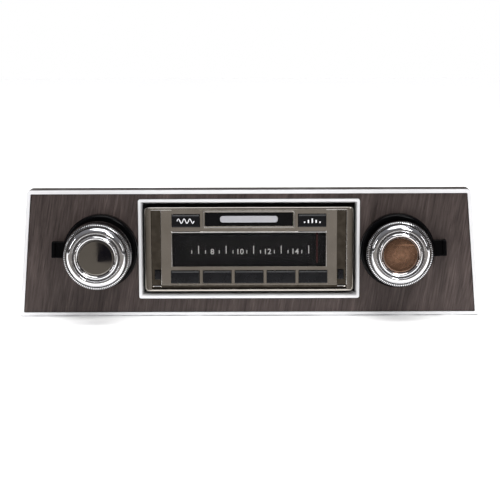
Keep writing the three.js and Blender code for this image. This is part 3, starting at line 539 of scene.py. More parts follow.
def walnut():
    """Printed walnut: fine streaks leaning a little, broad bands, and short dark pores."""
    LEAN = math.radians(9)
    look = Look("walnut print", (0.06, 0.05, 0.046), 0.5, specular=0.25)
    streak_space = look.leaning(LEAN, 22)
    streaks = look.noise(1250, 6, 0.7, 0.25, streak_space)
    bands = look.noise(150, 5, 0.65, 0.9, look.leaning(LEAN * 1.5, 7))
    cloud = look.noise(28, 3, 0.5, 0.2, look.place(scale=(1, 1, 0.6)))
    broad = look.plus(look.times(bands, 0.36), look.times(cloud, 0.16))
    mixed = look.plus(look.times(streaks, 0.48), broad)
    grain = look.ramp(mixed, [
        (0.38, (0.027, 0.0190, 0.0172)),
        (0.46, (0.049, 0.0360, 0.0330)),
        (0.54, (0.070, 0.0518, 0.0478)),
        (0.62, (0.108, 0.0815, 0.0755)),
    ])
    pores = look.mask(look.noise(2600, 2, 0.5, 0, look.leaning(LEAN, 34)), 0.60, 0.68)
    look.colour_from(look.mix(look.times(pores, 0.55), grain, (0.02, 0.0145, 0.013)))
    look.rough(0.42, 0.58, 1200, vector=streak_space)
    look.bump(streaks, 0.25, 0.03)
    look.bump(look.maths("SUBTRACT", 1.0, pores), 0.3, 0.04)
    return look.material


def plastic(name, colour, roughness, specular, strength, scale=1400):
    return plain(name, colour, roughness, specular=specular, grain=(scale, 3), bump=(strength, 0.05))


def zinc_sheet(name, colour, roughness):
    """Zinc plate: faint crystals, a rolling direction and dull patches."""
    look = Look(name, colour, roughness, metallic=1)
    crystals = look.add("TexVoronoi", Vector=look.place(), Scale=320).outputs["Color"]
    tone = look.plus(look.times(crystals, 0.3), look.times(look.noise(70, 6, 0.65), 0.7))
    dark = tuple(c * 0.86 for c in colour)
    light = tuple(min(1, c * 1.08) for c in colour)
    look.colour_from(look.ramp(tone, [(0.3, dark), (0.7, light)]))
    look.rough(roughness * 0.9, roughness * 1.15, 240)
    look.bump(look.noise(2000, 2, vector=look.place(scale=(0.05, 1, 1))), 0.08, 0.02)
    return look.material


def painted_sheet(name, colour, roughness, specular=0.4):
    return plain(name, colour, roughness, specular=specular, mottle=(60, 0.12), rough=(0.8, 1.25, 90),
                 grain=(1100, 3), bump=(0.15, 0.03))


def turned_metal(name, colour, roughness):
    """Fine lathe lines round an axis parallel to Y."""
    return plain(name, colour, roughness, 1, mottle=(300, 0.06), rough=(0.8, 1.3, 500),
                 grain=(2600, 2), stretch=(0.02, 1, 0.02), bump=(0.12, 0.02))


def spun_disc(name, colour, centre, roughness):
    """A disc spun about its centre: concentric lines, a painted highlight that is lighter in the middle
    and in a fan, and a few scratches.
    """
    RIM = 0.0088
    look = Look(name, colour, roughness, metallic=1)
    radius, angle = radius_about(look, centre)
    fine = look.noise_along(radius, 5200, 3)
    broad = look.noise_along(radius, 460, 2)
    # Painted highlight: a faint fan of lighter and darker sectors, and a middle that is lighter than the
    # rim.
    fan_highlight = look.maths("SINE", look.plus(look.times(angle, 2.0), 0.9), 0)
    wander = look.plus(look.times(broad, 0.45), look.times(look.noise(330, 4), 0.30))
    centre_highlight = look.times(look.mask(radius, RIM, 0.0), 0.22)
    tone = look.plus(wander, look.plus(look.times(fan_highlight, 0.05), centre_highlight))
    dark, light, pale = (tuple(min(c * share, 1) for c in colour) for share in (0.5, 1.5, 1.9))
    spun = look.ramp(tone, [(0.34, dark), (0.5, colour), (0.66, light)])
    marks = look.noise(420, 1, vector=look.place(scale=(1, 1, 0.07), turn=(0, 0.9, 0)))
    nicks = look.noise(420, 1, vector=look.place(scale=(0.07, 1, 1), turn=(0, 0.35, 0)))
    scratched = look.larger(look.mask(marks, 0.715, 0.74), look.mask(nicks, 0.715, 0.74))
    look.colour_from(look.mix(look.times(scratched, 0.6), spun, pale))
    look.bump(fine, 0.16, 0.02)
    look.rough(roughness * 0.75, roughness * 1.3, 300)
    return look.material


def see_through(name, colour, roughness, alpha, low, high, scale, mottle_scale, mottle):
    look = Look(name, colour, roughness, specular=0.5)
    look.shader.inputs["Alpha"].default_value = alpha
    look.rough(low, high, scale)
    look.mottled(mottle_scale, mottle)
    return look.material


# Painted light: these parts glow faintly though no lamp lights them.
def painted_glow(name, colour, strength):
    look = Look(name, colour, 0.5, specular=0.2)
    look.mottled(500, 0.06)
    look.glow((*colour, 1), strength)
    look.bump(look.noise(2500, 2), 0.05, 0.01)
    return look.material


def circuit_green():
    """Solder mask over tracks that run aslant."""
    look = Look("solder mask", (0.012, 0.075, 0.042), 0.32)
    tracks = look.add("TexBrick", Vector=look.place(turn=(0, 0, 0.6)), Scale=210, Mortar_Size=0.012,
                      Color1=(0.012, 0.075, 0.042, 1), Color2=(0.016, 0.092, 0.052, 1),
                      Mortar=(0.045, 0.17, 0.09, 1))
    look.colour_from(tracks.outputs["Color"])
    look.rough(0.25, 0.45, 300)
    look.bump(tracks.outputs["Fac"], 0.1, 0.03)
    return look.material


def waved(name, colour, roughness, direction, scale, strength, dark, light, metallic=0.0):
    """Parallel wires side by side: turns on a coil, or the cores of a flat cable, with painted shade in
    the grooves between them.
    """
    look = Look(name, colour, roughness, metallic=metallic)
    wave = look.add("TexWave", Vector=look.place(), Scale=scale)
    wave.bands_direction = direction
    look.bump(wave.outputs["Fac"], strength, 0.3)
    # Painted shade: darker in the grooves between wires and lighter on their crowns, following the bump.
    look.colour_from(look.ramp(wave.outputs["Fac"], [dark, light]))
    return look.material


def floor_look():
    look = Look("pale floor", (0.85, 0.85, 0.85), 0.7, specular=0.1)
    look.mottled(3, 0.01)
    look.glow((1, 1, 1, 1), 0.3)
    return look.material


CHROME_TRIM = bright_trim()
CHROME_NOSE = nose_chrome()
CHROME_LEFT = knob_chrome("volume knob chrome", LEFT_AXIS)
CHROME_RIGHT = knob_chrome("tuning knob chrome", RIGHT_AXIS)
CHROME_DIM = chrome("dim chrome", (0.44, 0.42, 0.40), 0.1)
CHROME_BEAD = chrome("bead chrome", (0.82, 0.81, 0.80), 0.08)
NICKEL = chrome("nickel", (0.62, 0.58, 0.50), 0.2)
WALNUT = walnut()
PLATE_PAINT = painted_sheet("plate paint", (0.030, 0.024, 0.022), 0.6, 0.12)
BLACK_SHEET = painted_sheet("black sheet", (0.012, 0.012, 0.013), 0.45)
ZINC = zinc_sheet("zinc sheet", (0.50, 0.50, 0.48), 0.36)
TIN = zinc_sheet("tin plate", (0.62, 0.62, 0.60), 0.24)
STEEL = turned_metal("turned steel", (0.50, 0.50, 0.51), 0.26)
ZINC_BRIGHT = turned_metal("zinc hardware", (0.60, 0.60, 0.58), 0.3)
BRASS = turned_metal("turned brass", (0.56, 0.41, 0.18), 0.26)
GLOSS_BLACK = plastic("gloss black", (0.0018, 0.0018, 0.0021), 0.13, 0.06, 0.01)
BADGE_BLACK = plastic("badge black", (0.003, 0.003, 0.004), 0.12, 0.2, 0.005)
BUTTON_BLACK = plastic("button black", (0.0034, 0.0036, 0.0052), 0.27, 0.36, 0.05)
DIAL_BLACK = plastic("dial black", (0.0035, 0.0035, 0.0038), 0.6, 0.15, 0.03)
SCREEN_DARK = plastic("dial screen", (0.0072, 0.0068, 0.0064), 0.5, 0.2, 0.03)
NYLON = plastic("nylon", (0.55, 0.53, 0.47), 0.5, 0.4, 0.05)
SOCKET_WHITE = plastic("socket nylon", (0.62, 0.60, 0.53), 0.42, 0.4, 0.04)
CHIP_BLACK = plastic("chip epoxy", (0.012, 0.012, 0.012), 0.6, 0.3, 0.2)
SLEEVE_BLACK = plastic("capacitor sleeve", (0.008, 0.010, 0.022), 0.2, 0.5, 0.01)
SILVER = plain("badge silver", (0.55, 0.55, 0.59), 0.3, 0.4, mottle=(500, 0.02), bump=(0.03, 0.01),
               rough=(0.29 / 0.3, 1.1, 900), grain=(5200, 2), stretch=(0.02, 1, 1))
LENS = see_through("smoked lens", (0.010, 0.010, 0.012), 0.04, 0.28, 0.03, 0.07, 120, 60, 0.1)
ACRYLIC = see_through("clear acrylic", (0.80, 0.83, 0.84), 0.12, 0.5, 0.08, 0.2, 200, 90, 0.04)
POINTER_RED = painted_glow("pointer red", (0.085, 0.018, 0.015), 0.02)
DIAL_WHITE = painted_glow("dial white", (0.80, 0.79, 0.76), 0.48)
MARK_WHITE = painted_glow("mark white", (0.78, 0.78, 0.80), 0.05)
CIRCUIT = circuit_green()
HEAT_BLACK = plain("black anodised", (0.022, 0.022, 0.024), 0.38, 0.7, mottle=(400, 0.15),
                   rough=(0.3 / 0.38, 0.5 / 0.38, 250), grain=(1800, 2), stretch=(1, 1, 0.03),
                   bump=(0.2, 0.03))
WINDING = waved("enamelled wire", (0.36, 0.13, 0.045), 0.3, "Z", 330, 0.6,
                (0.1, (0.16, 0.05, 0.02)), (0.7, (0.45, 0.17, 0.06)), metallic=0.8)
RIBBON = waved("ribbon cable", (0.30, 0.31, 0.33), 0.45, "X", 125, 0.8,
               (0.15, (0.20, 0.21, 0.23)), (0.7, (0.36, 0.37, 0.39)))
CORD = plastic("waxed cord", (0.42, 0.36, 0.24), 0.8, 0.2, 0.4, 5200)
SMOKE_DISC = chrome("smoked mirror", (0.33, 0.31, 0.285), 0.035)
COPPER_DISC = spun_disc("spun copper", (0.50, 0.29, 0.195), RIGHT_AXIS, 0.24)


# ---- face plate ----
def face():
    refined("face_plate", PLATE_PAINT, 0.5, 3)
    refined("outer_trim", CHROME_TRIM, 0.45, 3)
    refined("wood_applique", WALNUT, 0.08, 1)
    refined("opening_trim", CHROME_TRIM, 0.4, 3)


# ---- nose, badge and dial ----
# Millimetres; heights are from the controls' axis, depths from the plate's rear edge.
CHANNEL = {"inner": 45.7, "outer": 50.9, "bottom": -20.5, "top": 21.25}
SLOT_BLOCK = {"x": (46.35, 49.25), "y": (-12.4, -10.2), "z": (-15.65, -10.75)}
CHANNEL_FOOT = {"x": (46.0, 50.6), "y": (-12.0, -10.9), "z": (-19.6, -18.8)}
BADGE_EDGE = 0.75
SCREEN = {"half_width": 33, "bottom": -5.7, "top": 6.7, "thickness": 0.15}
SCALE = {"centre": 2.4, "pitch": 14.4, "side": 3.6, "figures": 2.9, "baseline": -2.65}
TALL_TICK = {"half": 0.22, "bottom": -2.4, "top": 1.8}
SHORT_TICK = {"half": 0.2, "bottom": -2.3, "top": -0.55}


def nose():
    refined("nose_bezel", CHROME_NOSE, 0.24, 3, outer=0.85)
    badge_bead()
    channel_boxes("nose_foot_{}", CHROME_BEAD, CHANNEL_FOOT, "nose_chrome")
    nose_beads()
    refined("badge_panel", BADGE_BLACK, 0.12, 2)
    refined("badge_bar", SILVER, 0.3, 3)
    channel_boxes("{}_slot_block", BUTTON_BLACK, SLOT_BLOCK, "button_black")


def channel_boxes(name, look, span, slot):
    """The same small box in each side channel of the nose."""
    (front, back), (bottom, top) = span["y"], span["z"]
    for side, way in (("left", -1), ("right", 1)):
        near, far = sorted(way * x for x in span["x"])
        box_piece(name.format(side), look, (near, front, AXIS + bottom), (far, back, AXIS + top),
                  "radio", slot, 0.3, 2)


def bead_loop(bm, points, radius, y, closed):
    """A round wire through (x, z) points at one depth, in millimetres."""
    SIDES = 10
    rings = []
    count = len(points)
    for i, point in enumerate(points):
        before = Vector(points[(i - 1) % count] if closed else points[max(i - 1, 0)])
        after = Vector(points[(i + 1) % count] if closed else points[min(i + 1, count - 1)])
        here = Vector(point)
        one, two = (here - before), (after - here)
        one = one.normalized() if one.length else two.normalized()
        two = two.normalized() if two.length else one
        along = (one + two).normalized()
        stretch = 1 / max(along.dot(two), 0.4)
        across = Vector((-along.y, along.x)) * radius * stretch
        rings.append(wire_ring(bm, (here.x, y, here.y), across, radius, SIDES))
    skin(bm, rings, closed)


def badge_bead():
    """A wire cast round the badge, with round corners."""
    CORNER, STEPS = 0.9, 5
    front, _ = reach("nose_bezel")
    low, high = (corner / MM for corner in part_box("badge_panel"))
    right = high.x + BADGE_EDGE - CORNER
    bottom, top = low.z - BADGE_EDGE + CORNER, high.z + BADGE_EDGE - CORNER
    outline = []
    for x, z, start in ((right, top, 0), (-right, top, 90), (-right, bottom, 180), (right, bottom, 270)):
        for k in range(STEPS + 1):
            a = math.radians(start + 90 * k / STEPS)
            outline.append((x + CORNER * math.cos(a), z + CORNER * math.sin(a)))
    bm = bmesh.new()
    bead_loop(bm, outline, 0.28, front + 0.12, True)
    finish_piece(new_object("badge_bead", bm), CHROME_DIM, body="radio", slot="nose_chrome")


def nose_beads():
    """Fine raised wires at the dial's and badge's sides and along the channels' edges."""
    front, _ = reach("nose_bezel")
    badge_low, badge_high = (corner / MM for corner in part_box("badge_panel"))
    dial_low, dial_high = (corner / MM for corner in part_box("dial_lens"))
    top = AXIS + CHANNEL["top"]
    bottom = AXIS + CHANNEL["bottom"] + 2.2
    outer = CHANNEL["outer"] - 0.1
    lip = dial_high.z + 0.5
    # Each wire: start, end, radius, and how far it lies behind the nose's front.
    wires = [((dial_low.x - 0.5, lip), (dial_high.x + 0.5, lip), 0.3, 0.35)]
    for side in (-1, 1):
        dial_x = side * (dial_high.x + 0.55)
        badge_x = side * (badge_high.x + BADGE_EDGE)
        channel_x, behind = (-CHANNEL["inner"], 1.1) if side < 0 else (outer, 0.3)
        wires += [
            ((dial_x, dial_low.z - 0.3), (dial_x, lip), 0.25, 0.75),
            ((badge_x, badge_low.z - BADGE_EDGE), (badge_x, badge_high.z + BADGE_EDGE), 0.24, 0.02),
            ((channel_x, bottom), (channel_x, top - 0.3), 0.22, behind),
            ((side * (CHANNEL["inner"] - 5.5), top), (side * outer, top), 0.24, 0.35),
        ]
    bm = bmesh.new()
    for start, end, radius, behind in wires:
        bead_loop(bm, [start, end], radius, front + behind, False)
    finish_piece(new_object("nose_beads", bm), CHROME_BEAD, body="radio", slot="nose_chrome")


def flat_text(name, text, size, x, y, z, look, body, slot):
    """Upright figures facing -Y, as a thin solid; size is the figures' height in millimetres."""
    CAP_HEIGHT = 0.72
    curve = bpy.data.curves.new(name, "FONT")
    curve.body = text
    curve.align_x = "CENTER"
    curve.size = size * MM / CAP_HEIGHT
    curve.extrude = 0.02 * MM
    curve.offset = 0.035 * MM
    curve.space_character = 1.04
    writer = add_object(name, curve)
    mesh = evaluated(writer)
    bpy.data.objects.remove(writer)
    place = Matrix.Translation((x * MM, y * MM, z * MM)) @ Matrix.Rotation(math.radians(90), 4, "X")
    mesh.transform(place)
    bm = bmesh.new()
    bm.from_mesh(mesh)
    bmesh.ops.remove_doubles(bm, verts=bm.verts, dist=1e-7)
    finish_piece(new_object(name, bm), look, body=body, slot=slot)


def dial():
    refined("dial_lens", LENS, 0.12, 2)
    refined("dial_scale", DIAL_BLACK, 0.08, 1)
    refined("light_guide", ACRYLIC, 0.3, 2)
    refined("dial_pointer", POINTER_RED, 0.12, 2)
    refined("pointer_carriage", NYLON, 0.3, 2)
    face_y, _ = reach("dial_scale")
    slot = SLOT_OF["dial_scale"]
    front = face_y - SCREEN["thickness"]
    box_piece("dial_screen", SCREEN_DARK, (-SCREEN["half_width"], front, AXIS + SCREEN["bottom"]),
              (SCREEN["half_width"], face_y + 0.02, AXIS + SCREEN["top"]), "radio", slot, 0.06, 1)

    ticks = bmesh.new()

    def tick(x, kind):
        add_box(ticks, (x - kind["half"], front - 0.03, AXIS + kind["bottom"]),
                (x + kind["half"], front + 0.02, AXIS + kind["top"]))

    for k in range(-2, 3):
        x = SCALE["centre"] + k * SCALE["pitch"]
        tick(x, TALL_TICK)
        for side in (-1, 1):
            if (k, side) != (2, 1):
                tick(x + side * SCALE["side"], SHORT_TICK)
    finish_piece(new_object("dial_ticks", ticks), DIAL_WHITE, body="radio", slot=slot)
    for k, figures in enumerate(("8", "10", "12", "14")):
        x = SCALE["centre"] + (k - 1.5) * SCALE["pitch"]
        flat_text("dial_figures_" + figures, figures, SCALE["figures"], x, front - 0.03,
                  AXIS + SCALE["baseline"], DIAL_WHITE, "radio", slot)


# ---- buttons ----
def stroke(bm, points, width, y):
    """A flat stroke through (x, z) points, facing -Y; all in millimetres."""
    DEPTH = 0.05
    rings = []
    for i, point in enumerate(points):
        half = crosswise(points, i) * width / 2
        one, two = Vector(point) + half, Vector(point) - half
        rings.append([bm.verts.new((x * MM, yy * MM, z * MM)) for (x, z), yy in (
            (one, y), (two, y), (two, y + DEPTH), (one, y + DEPTH))])
    skin(bm, rings, False)


def buttons():
    names = ["band_button", "mode_button"] + [f"preset_button_{i}" for i in range(1, 6)]
    for name in names:
        refined(name, BUTTON_BLACK, 0.3, 3)

    def mark(node, strokes, width=0.42):
        centre = middle(node) / MM
        front = reach(node)[0] - 0.03
        bm = bmesh.new()
        for points in strokes:
            stroke(bm, [(centre.x + x, centre.z + z) for x, z in points], width, front)
        finish_piece(new_object(node + "_mark", bm), MARK_WHITE, node=node, slot=SLOT_OF["badge_bar"])

    steps = 48
    HALF, RISE, WAVES = 4.4, 1.15, 3
    wave = [(HALF * (2 * i / steps - 1), RISE * math.sin(WAVES * 2 * math.pi * i / steps))
            for i in range(steps + 1)]
    mark("band_button", [wave])
    bars = [[(x, -RISE), (x, top)] for x, top in ((-4, -0.4), (-2, 0.4), (0, 1.2), (2, 0.4), (4, -0.4))]
    mark("mode_button", bars, 0.7)


# ---- knobs and levers ----
# Radius and distance in front of the knob's back, in millimetres; a doubled point is a corner.
KNOB_PROFILE = [
    (2.55, 0), (2.55, 0), (16.7, 0), (16.7, 0), (17.05, 0.12), (17.2, 0.6), (17.2, 3.2), (17.2, 5.8),
    (17.2, 8.3), (17.08, 9.0), (16.75, 9.7), (16.2, 10.2), (15.6, 10.4), (15.6, 10.4), (15.25, 10.3),
    (15.25, 10.3), (15.1, 10.75), (14.75, 11.5), (14.2, 12.2), (13.5, 12.65), (12.8, 12.8),
    (12.35, 12.7), (12.0, 12.25), (11.85, 11.75), (11.85, 11.75), (11.65, 11.6), (11.45, 11.75),
    (11.45, 11.75), (11.25, 12.4), (10.85, 13.05), (10.3, 13.4), (9.8, 13.2), (9.4, 12.7), (9.12, 12.15),
    (8.95, 11.65), (8.95, 11.65), (0, 11.6),
]
KNOB_BORE = {"radius": 2.55, "depth": 10.4}
BEADS = {"from": 0.5, "to": 10.2, "fade": 0.5, "depth": 0.45, "radius": 15.5}


def knob(node, disc_node, look, disc_look, axis):
    _, back = reach(node)

    def beads(radius, along, angle):
        ahead = back - along
        if radius < BEADS["radius"] or ahead > BEADS["to"] or ahead < BEADS["from"]:
            return radius
        fade_in = min(1, (ahead - BEADS["from"]) / BEADS["fade"])
        fade_out = min(1, (BEADS["to"] - ahead) / BEADS["fade"])
        return radius - BEADS["depth"] * fade_in * fade_out * (0.5 - 0.5 * math.cos(KNURLS * angle))

    floor = back - KNOB_BORE["depth"]
    profile = [(0, floor), (KNOB_BORE["radius"], floor)]
    profile += [(radius, back - ahead) for radius, ahead in smooth_profile(KNOB_PROFILE, 3)]
    lathe(node, "_turned", profile, look, axis, segments=KNURLS * 4, shape=beads, angle=50)
    _, seat = reach(disc_node)
    disc = [(0, seat), (8.75, seat), (8.75, seat - 0.45), (8.68, seat - 0.6), (8.5, seat - 0.68),
            (8.3, seat - 0.7), (8.15, seat - 0.7), (4, seat - 0.7), (0, seat - 0.7)]
    lathe(disc_node, "_turned", disc, disc_look, axis)


def lever(node, axis, outward, tilt):
    """A black ring behind the knob, with a tab that ends in a raised ridge."""
    TAB = {"inner": 17.2, "outer": 25.3, "half": 4.2}
    RIDGE = {"inner": 23.2, "outer": 25.25, "half": 4.15}
    front, back = reach(node)
    ring = smooth_profile([
        (3.8, front), (3.8, front), (16.9, front), (17.6, front + 0.03), (18.3, front + 0.28),
        (18.85, front + 0.8), (19.2, front + 1.6), (19.3, front + 2.6), (19.3, back - 0.5),
        (19.2, back - 0.1), (18.9, back), (18.9, back), (12, back), (12, back), (12, back - 3.7),
        (12, back - 3.7), (3.8, back - 3.7), (3.8, back - 3.7), (3.8, front),
    ], 3)
    ring[-1] = ring[0]
    lathe(node, "_ring", ring, GLOSS_BLACK, axis, segments=128)
    angle = math.radians(tilt) if outward > 0 else math.pi - math.radians(tilt)
    turn = Matrix.Translation((axis.x, 0, axis.z)) @ Matrix.Rotation(-angle, 4, "Y")
    for ending, size, ahead, behind, bevel in (
            ("_tab", TAB, 4.7, 0.4, 0.45), ("_ridge", RIDGE, 5.9, 4.4, 0.5)):
        bm = bmesh.new()
        half = size["half"]
        add_box(bm, (size["inner"], back - ahead, -half), (size["outer"], back - behind, half))
        bevel_sharp(bm, bevel, 3)
        piece = new_object(node + ending, bm)
        piece.data.transform(turn)
        flat_normals(piece)
        finish_piece(piece, GLOSS_BLACK, node=node)


def control(side, axis, names, looks, tilt):
    """One control: knob and disc, ring lever, shaft in sleeve in bushing, nut and can."""
    knob_node, disc_node, lever_node, can_node = names
    knob(knob_node, disc_node, *looks, axis)
    lever(lever_node, axis, 1 if side == "right" else -1, tilt)

    bar = chamfered(2.25, *reach(side + "_shaft"))
    lathe(side + "_shaft", "_turned", bar, STEEL, axis, segments=48)
    tube = sleeve_profile(3.5, 2.6, *reach(side + "_sleeve"))
    lathe(side + "_sleeve", "_turned", tube, STEEL, axis, segments=64)
    front, back = reach(side + "_bushing")
    wall = [(3.85, front), (4.3, front)] + threaded(4.7, front + 0.3, back - 2.2) + [
        (4.7, back - 2), (4.7, back), (3.85, back), (3.85, front)]
    lathe(side + "_bushing", "_threaded", wall, BRASS, axis, segments=64, angle=60)
    refined(side + "_nut", ZINC_BRIGHT, 0.35, 2)
    refined(can_node, TIN, 0.3, 2)


def controls():
    control("left", LEFT_AXIS, ("volume_knob", "volume_knob_disc", "tone_lever", "volume_control"),
            (CHROME_LEFT, SMOKE_DISC), 2.5)
    control("right", RIGHT_AXIS, ("tuning_knob", "tuning_knob_disc", "fader_lever", "tuning_control"),
            (CHROME_RIGHT, COPPER_DISC), 3.5)


# ---- dial drive ----
def pulley(node, centre, bore):
    front, back = reach(node)
    mid = (front + back) / 2
    profile = [(bore, front), (8.1, front), (8.4, front + 0.2), (8.4, mid - 1.5), (8.2, mid - 1.3),
               (6.5, mid - 0.9), (6.3, mid - 0.7), (6.3, mid + 0.7), (6.5, mid + 0.9), (8.2, mid + 1.3),
               (8.4, mid + 1.5), (8.4, back - 0.2), (8.1, back), (bore, back), (bore, front)]
    lathe(node, "_turned", profile, NYLON, centre, segments=72)


def drive():
    rail = chamfered(1, *reach("pointer_rail", "x"))
    lathe("pointer_rail", "_turned", rail, STEEL, axis="x", segments=32)
    pulley("cord_drum", RIGHT_AXIS, 2.55)
    pulley("idler_pulley", middle("idler_pulley"), 1.8)
    refined("drive_frame", ZINC, 0.2, 2)
    cord_loop()


def cord_path():
    """The cord's run from the carriage round both pulleys and back, as (x, z) from the axis."""
    RADIUS, CLAMP = 7, 0.3
    right = RIGHT_AXIS.x / MM
    left = middle("idler_pulley").x / MM
    start = middle("pointer_carriage").x / MM

    def arc(centre, first):
        angles = [first + math.pi * i / 24 for i in range(24)]
        return [(centre + RADIUS * math.cos(a), RADIUS * math.sin(a)) for a in angles]

    return ([(start - CLAMP - (start - left - CLAMP) * i / 60, RADIUS) for i in range(60)]
            + arc(left, math.pi / 2)
            + [(left + (right - left) * i / 90, -RADIUS) for i in range(90)]
            + arc(right, -math.pi / 2)
            + [(right - (right - start - CLAMP) * i / 30, RADIUS) for i in range(31)])


def cord_loop():
    """Two twisted strands along the loop."""
    SIDES, STRAND, OFFSET, TWIST = 6, 0.2, 0.17, 1.1
    plane = middle("dial_cord").y / MM
    path = cord_path()
    bm = bmesh.new()
    for strand in (0, math.pi):
        rings = []
        for i, (x, z) in enumerate(path):
            across = crosswise(path, i)
            twist = strand + i * TWIST
            off = across * OFFSET * math.cos(twist)
            spot = (x + off.x, plane + OFFSET * math.sin(twist), z + off.y + AXIS)
            rings.append(wire_ring(bm, spot, across * STRAND, STRAND, SIDES))
        skin(bm, rings, False)
    obj = new_object("dial_cord_twisted", bm, 80)
    finish_piece(obj, CORD, node="dial_cord", replaces=("dial_cord",))


# ---- chassis ----
def screw(node, crown, way):
    """A pan-head screw along X with a cross recess; crown is its outer end, way its outward sign."""
    HEAD, HEIGHT, SHANK = 3.0, 1.6, 5.5
    CROSS_LONG, CROSS_SHORT = 1.7, 0.32
    centre = middle(node)
    base = crown - way * HEIGHT
    tip, seat = base - way * SHANK, base + way * 0.02
    profile = [(0, tip), (1.2, tip), (1.5, base - way * (SHANK - 0.4)), (1.5, seat), (HEAD, seat)]
    profile += [(HEAD * wide, base + way * up) for wide, up in (
        (1, 0.35), (0.93, HEIGHT * 0.6), (0.72, HEIGHT * 0.88), (0.4, HEIGHT * 0.99), (0, HEIGHT))]
    bm = bmesh.new()
    add_lathe(bm, profile, centre, "x", 40)
    obj = new_object(node + "_turned", bm)
    cutter = bmesh.new()
    near, far = sorted((base + way * HEIGHT * 0.45, base + way * (HEIGHT + 0.5)))
    y, z = centre.y / MM, centre.z / MM
    for u, v in ((CROSS_LONG, CROSS_SHORT), (CROSS_SHORT, CROSS_LONG)):
        add_box(cutter, (near, y - u, z - v), (far, y + u, z + v))
    cut(obj, new_object(node + "_cutter", cutter))
    finish_piece(obj, ZINC_BRIGHT, node=node, body="radio", slot="zinc_bright", replaces=(node,))


def cut(obj, tool):
    """Subtracts the tool's boxes from the object and removes the tool."""
    boolean = obj.modifiers.new("cut", "BOOLEAN")
    boolean.operation = "DIFFERENCE"
    boolean.solver = "EXACT"
    boolean.use_self = True
    boolean.object = tool
    mesh, old = evaluated(obj), obj.data
    obj.modifiers.clear()
    obj.data = mesh
    bpy.data.meshes.remove(old)
    bpy.data.objects.remove(tool)


def chassis():
    refined("front_panel", ZINC, 0.2, 2)
    for node, look in (("chassis_tray", ZINC), ("top_cover", ZINC), ("dial_hood", BLACK_SHEET)):
        refined(node, look, 0.35, 2)
    refined("heat_sink", HEAT_BLACK, 0.25, 2)
    for side, way in (("left", -1), ("right", 1)):
        for i in (1, 2):
            node = f"cover_screw_{side}_{i}"
            screw(node, reach(node, "x")[way > 0], way)


def rear_rivets():
    """Dome rivets that hold the sockets to the rear wall."""
    _, wall = reach("chassis_tray")
    dome = [(0, wall - 0.3), (1.7, wall - 0.3), (1.7, wall + 0.05), (1.6, wall + 0.35),
            (1.25, wall + 0.7), (0.7, wall + 0.9), (0, wall + 0.95)]
    bm = bmesh.new()
    for node, gap in (("antenna_socket", 4.5), ("wiring_socket", 3.5)):
        near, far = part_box(node)
        height = (near.z + far.z) / 2
        for x in (near.x - gap * MM, far.x + gap * MM):
            add_lathe(bm, dome, (x, 0, height), "y", 28)
    finish_piece(new_object("rear_rivets", bm), ZINC_BRIGHT, body="radio", slot="zinc_bright")


def electronics():
    rear_rivets()
    refined("main_board", CIRCUIT, 0.1, 1)
    refined("switch_board", CIRCUIT, 0.1, 1)
    refined("tuner_can", TIN, 0.4, 2)
    refined("amplifier_chip", CHIP_BLACK, 0.2, 2)
    refined("wiring_socket", SOCKET_WHITE, 0.25, 2)
    refined("ribbon_cable", RIBBON, 0.05, 1)

    base, top = reach("power_choke", "z")
    lathe("power_choke", "_wound", smooth_profile([
        (0, base), (0, base), (9, base), (9, base), (9, base + 2), (9, base + 2), (6.6, base + 2.1),
        (6.6, base + 2.1), (6.9, base + 3), (6.95, base + 7), (6.9, top - 3), (6.6, top - 2.1),
        (6.6, top - 2.1), (9, top - 2), (9, top - 2), (9, top), (9, top), (0, top),
    ], 2), WINDING, axis="z", segments=64)

    base, top = reach("filter_capacitor", "z")
    lathe("filter_capacitor", "_sleeved", [
        (0, base), (6.2, base), (6.5, base + 0.4), (6.5, base + 1.3), (6.05, base + 1.7),
        (6.5, base + 2.2), (6.5, top - 0.6), (6.2, top - 0.1), (5.4, top), (5.2, top - 0.3),
        (0, top - 0.3),
    ], SLEEVE_BLACK, axis="z", segments=64)

    _, back = reach("antenna_socket")
    lathe("antenna_socket", "_turned", [
        (0, back - 16), (5.2, back - 16), (5.2, back - 6.7), (7.8, back - 6.7), (8, back - 6.5),
        (8, back - 5.4), (7.8, back - 5.2), (5.5, back - 5.2), (5.3, back - 5), (5.3, back - 0.3),
        (5.1, back), (4.3, back), (4.1, back - 0.3), (4.1, back - 14), (0, back - 14),
    ], NICKEL, segments=72)

    front, back = reach("rear_stud")
    flange = [(0, front), (5.3, front), (5.5, front + 0.2), (5.5, front + 2.2), (3, front + 2.3)]
    thread = threaded(3, front + 3, back - 1, 1.0, 0.4)
    lathe("rear_stud", "_threaded", flange + thread + [(2.3, back - 0.2), (2.1, back), (0, back)],
          STEEL, segments=48, angle=60)
    refined("rear_stud_nut", ZINC_BRIGHT, 0.35, 2)


# ---- studio ----
def stage_plane(name, low, high, z, look):
    bm = bmesh.new()
    (x0, y0), (x1, y1) = low, high
    bm.faces.new([bm.verts.new((x, y, z)) for x, y in ((x0, y0), (x1, y0), (x1, y1), (x0, y1))])
    obj = new_object(name, bm)
    obj.data.materials.append(look)
    return obj


def reflected_sheet(name, low, high, z, look, lean=0):
    """A sheet on the floor that only mirror-like surfaces show. The lean shifts its front edge
    sideways."""
    sheet = stage_plane(name, low, high, z, look)
    for vert in sheet.data.vertices[:2]:
        vert.co.x += lean
    sheet.visible_camera = False
    sheet.visible_diffuse = False
    sheet.visible_shadow = False
    sheet.visible_transmission = False


def softbox(name, place, size, power):
    """An area light that faces the middle of the radio."""
    AIM = Vector((0, 0, 0.03))
    light = bpy.data.lights.new(name, "AREA")
    light.shape = "RECTANGLE"
    light.size, light.size_y = size
    light.energy = power
    obj = add_object(name, light)
    obj.location = place
    obj.rotation_euler = (AIM - Vector(place)).to_track_quat("-Z", "Y").to_euler()
    return obj


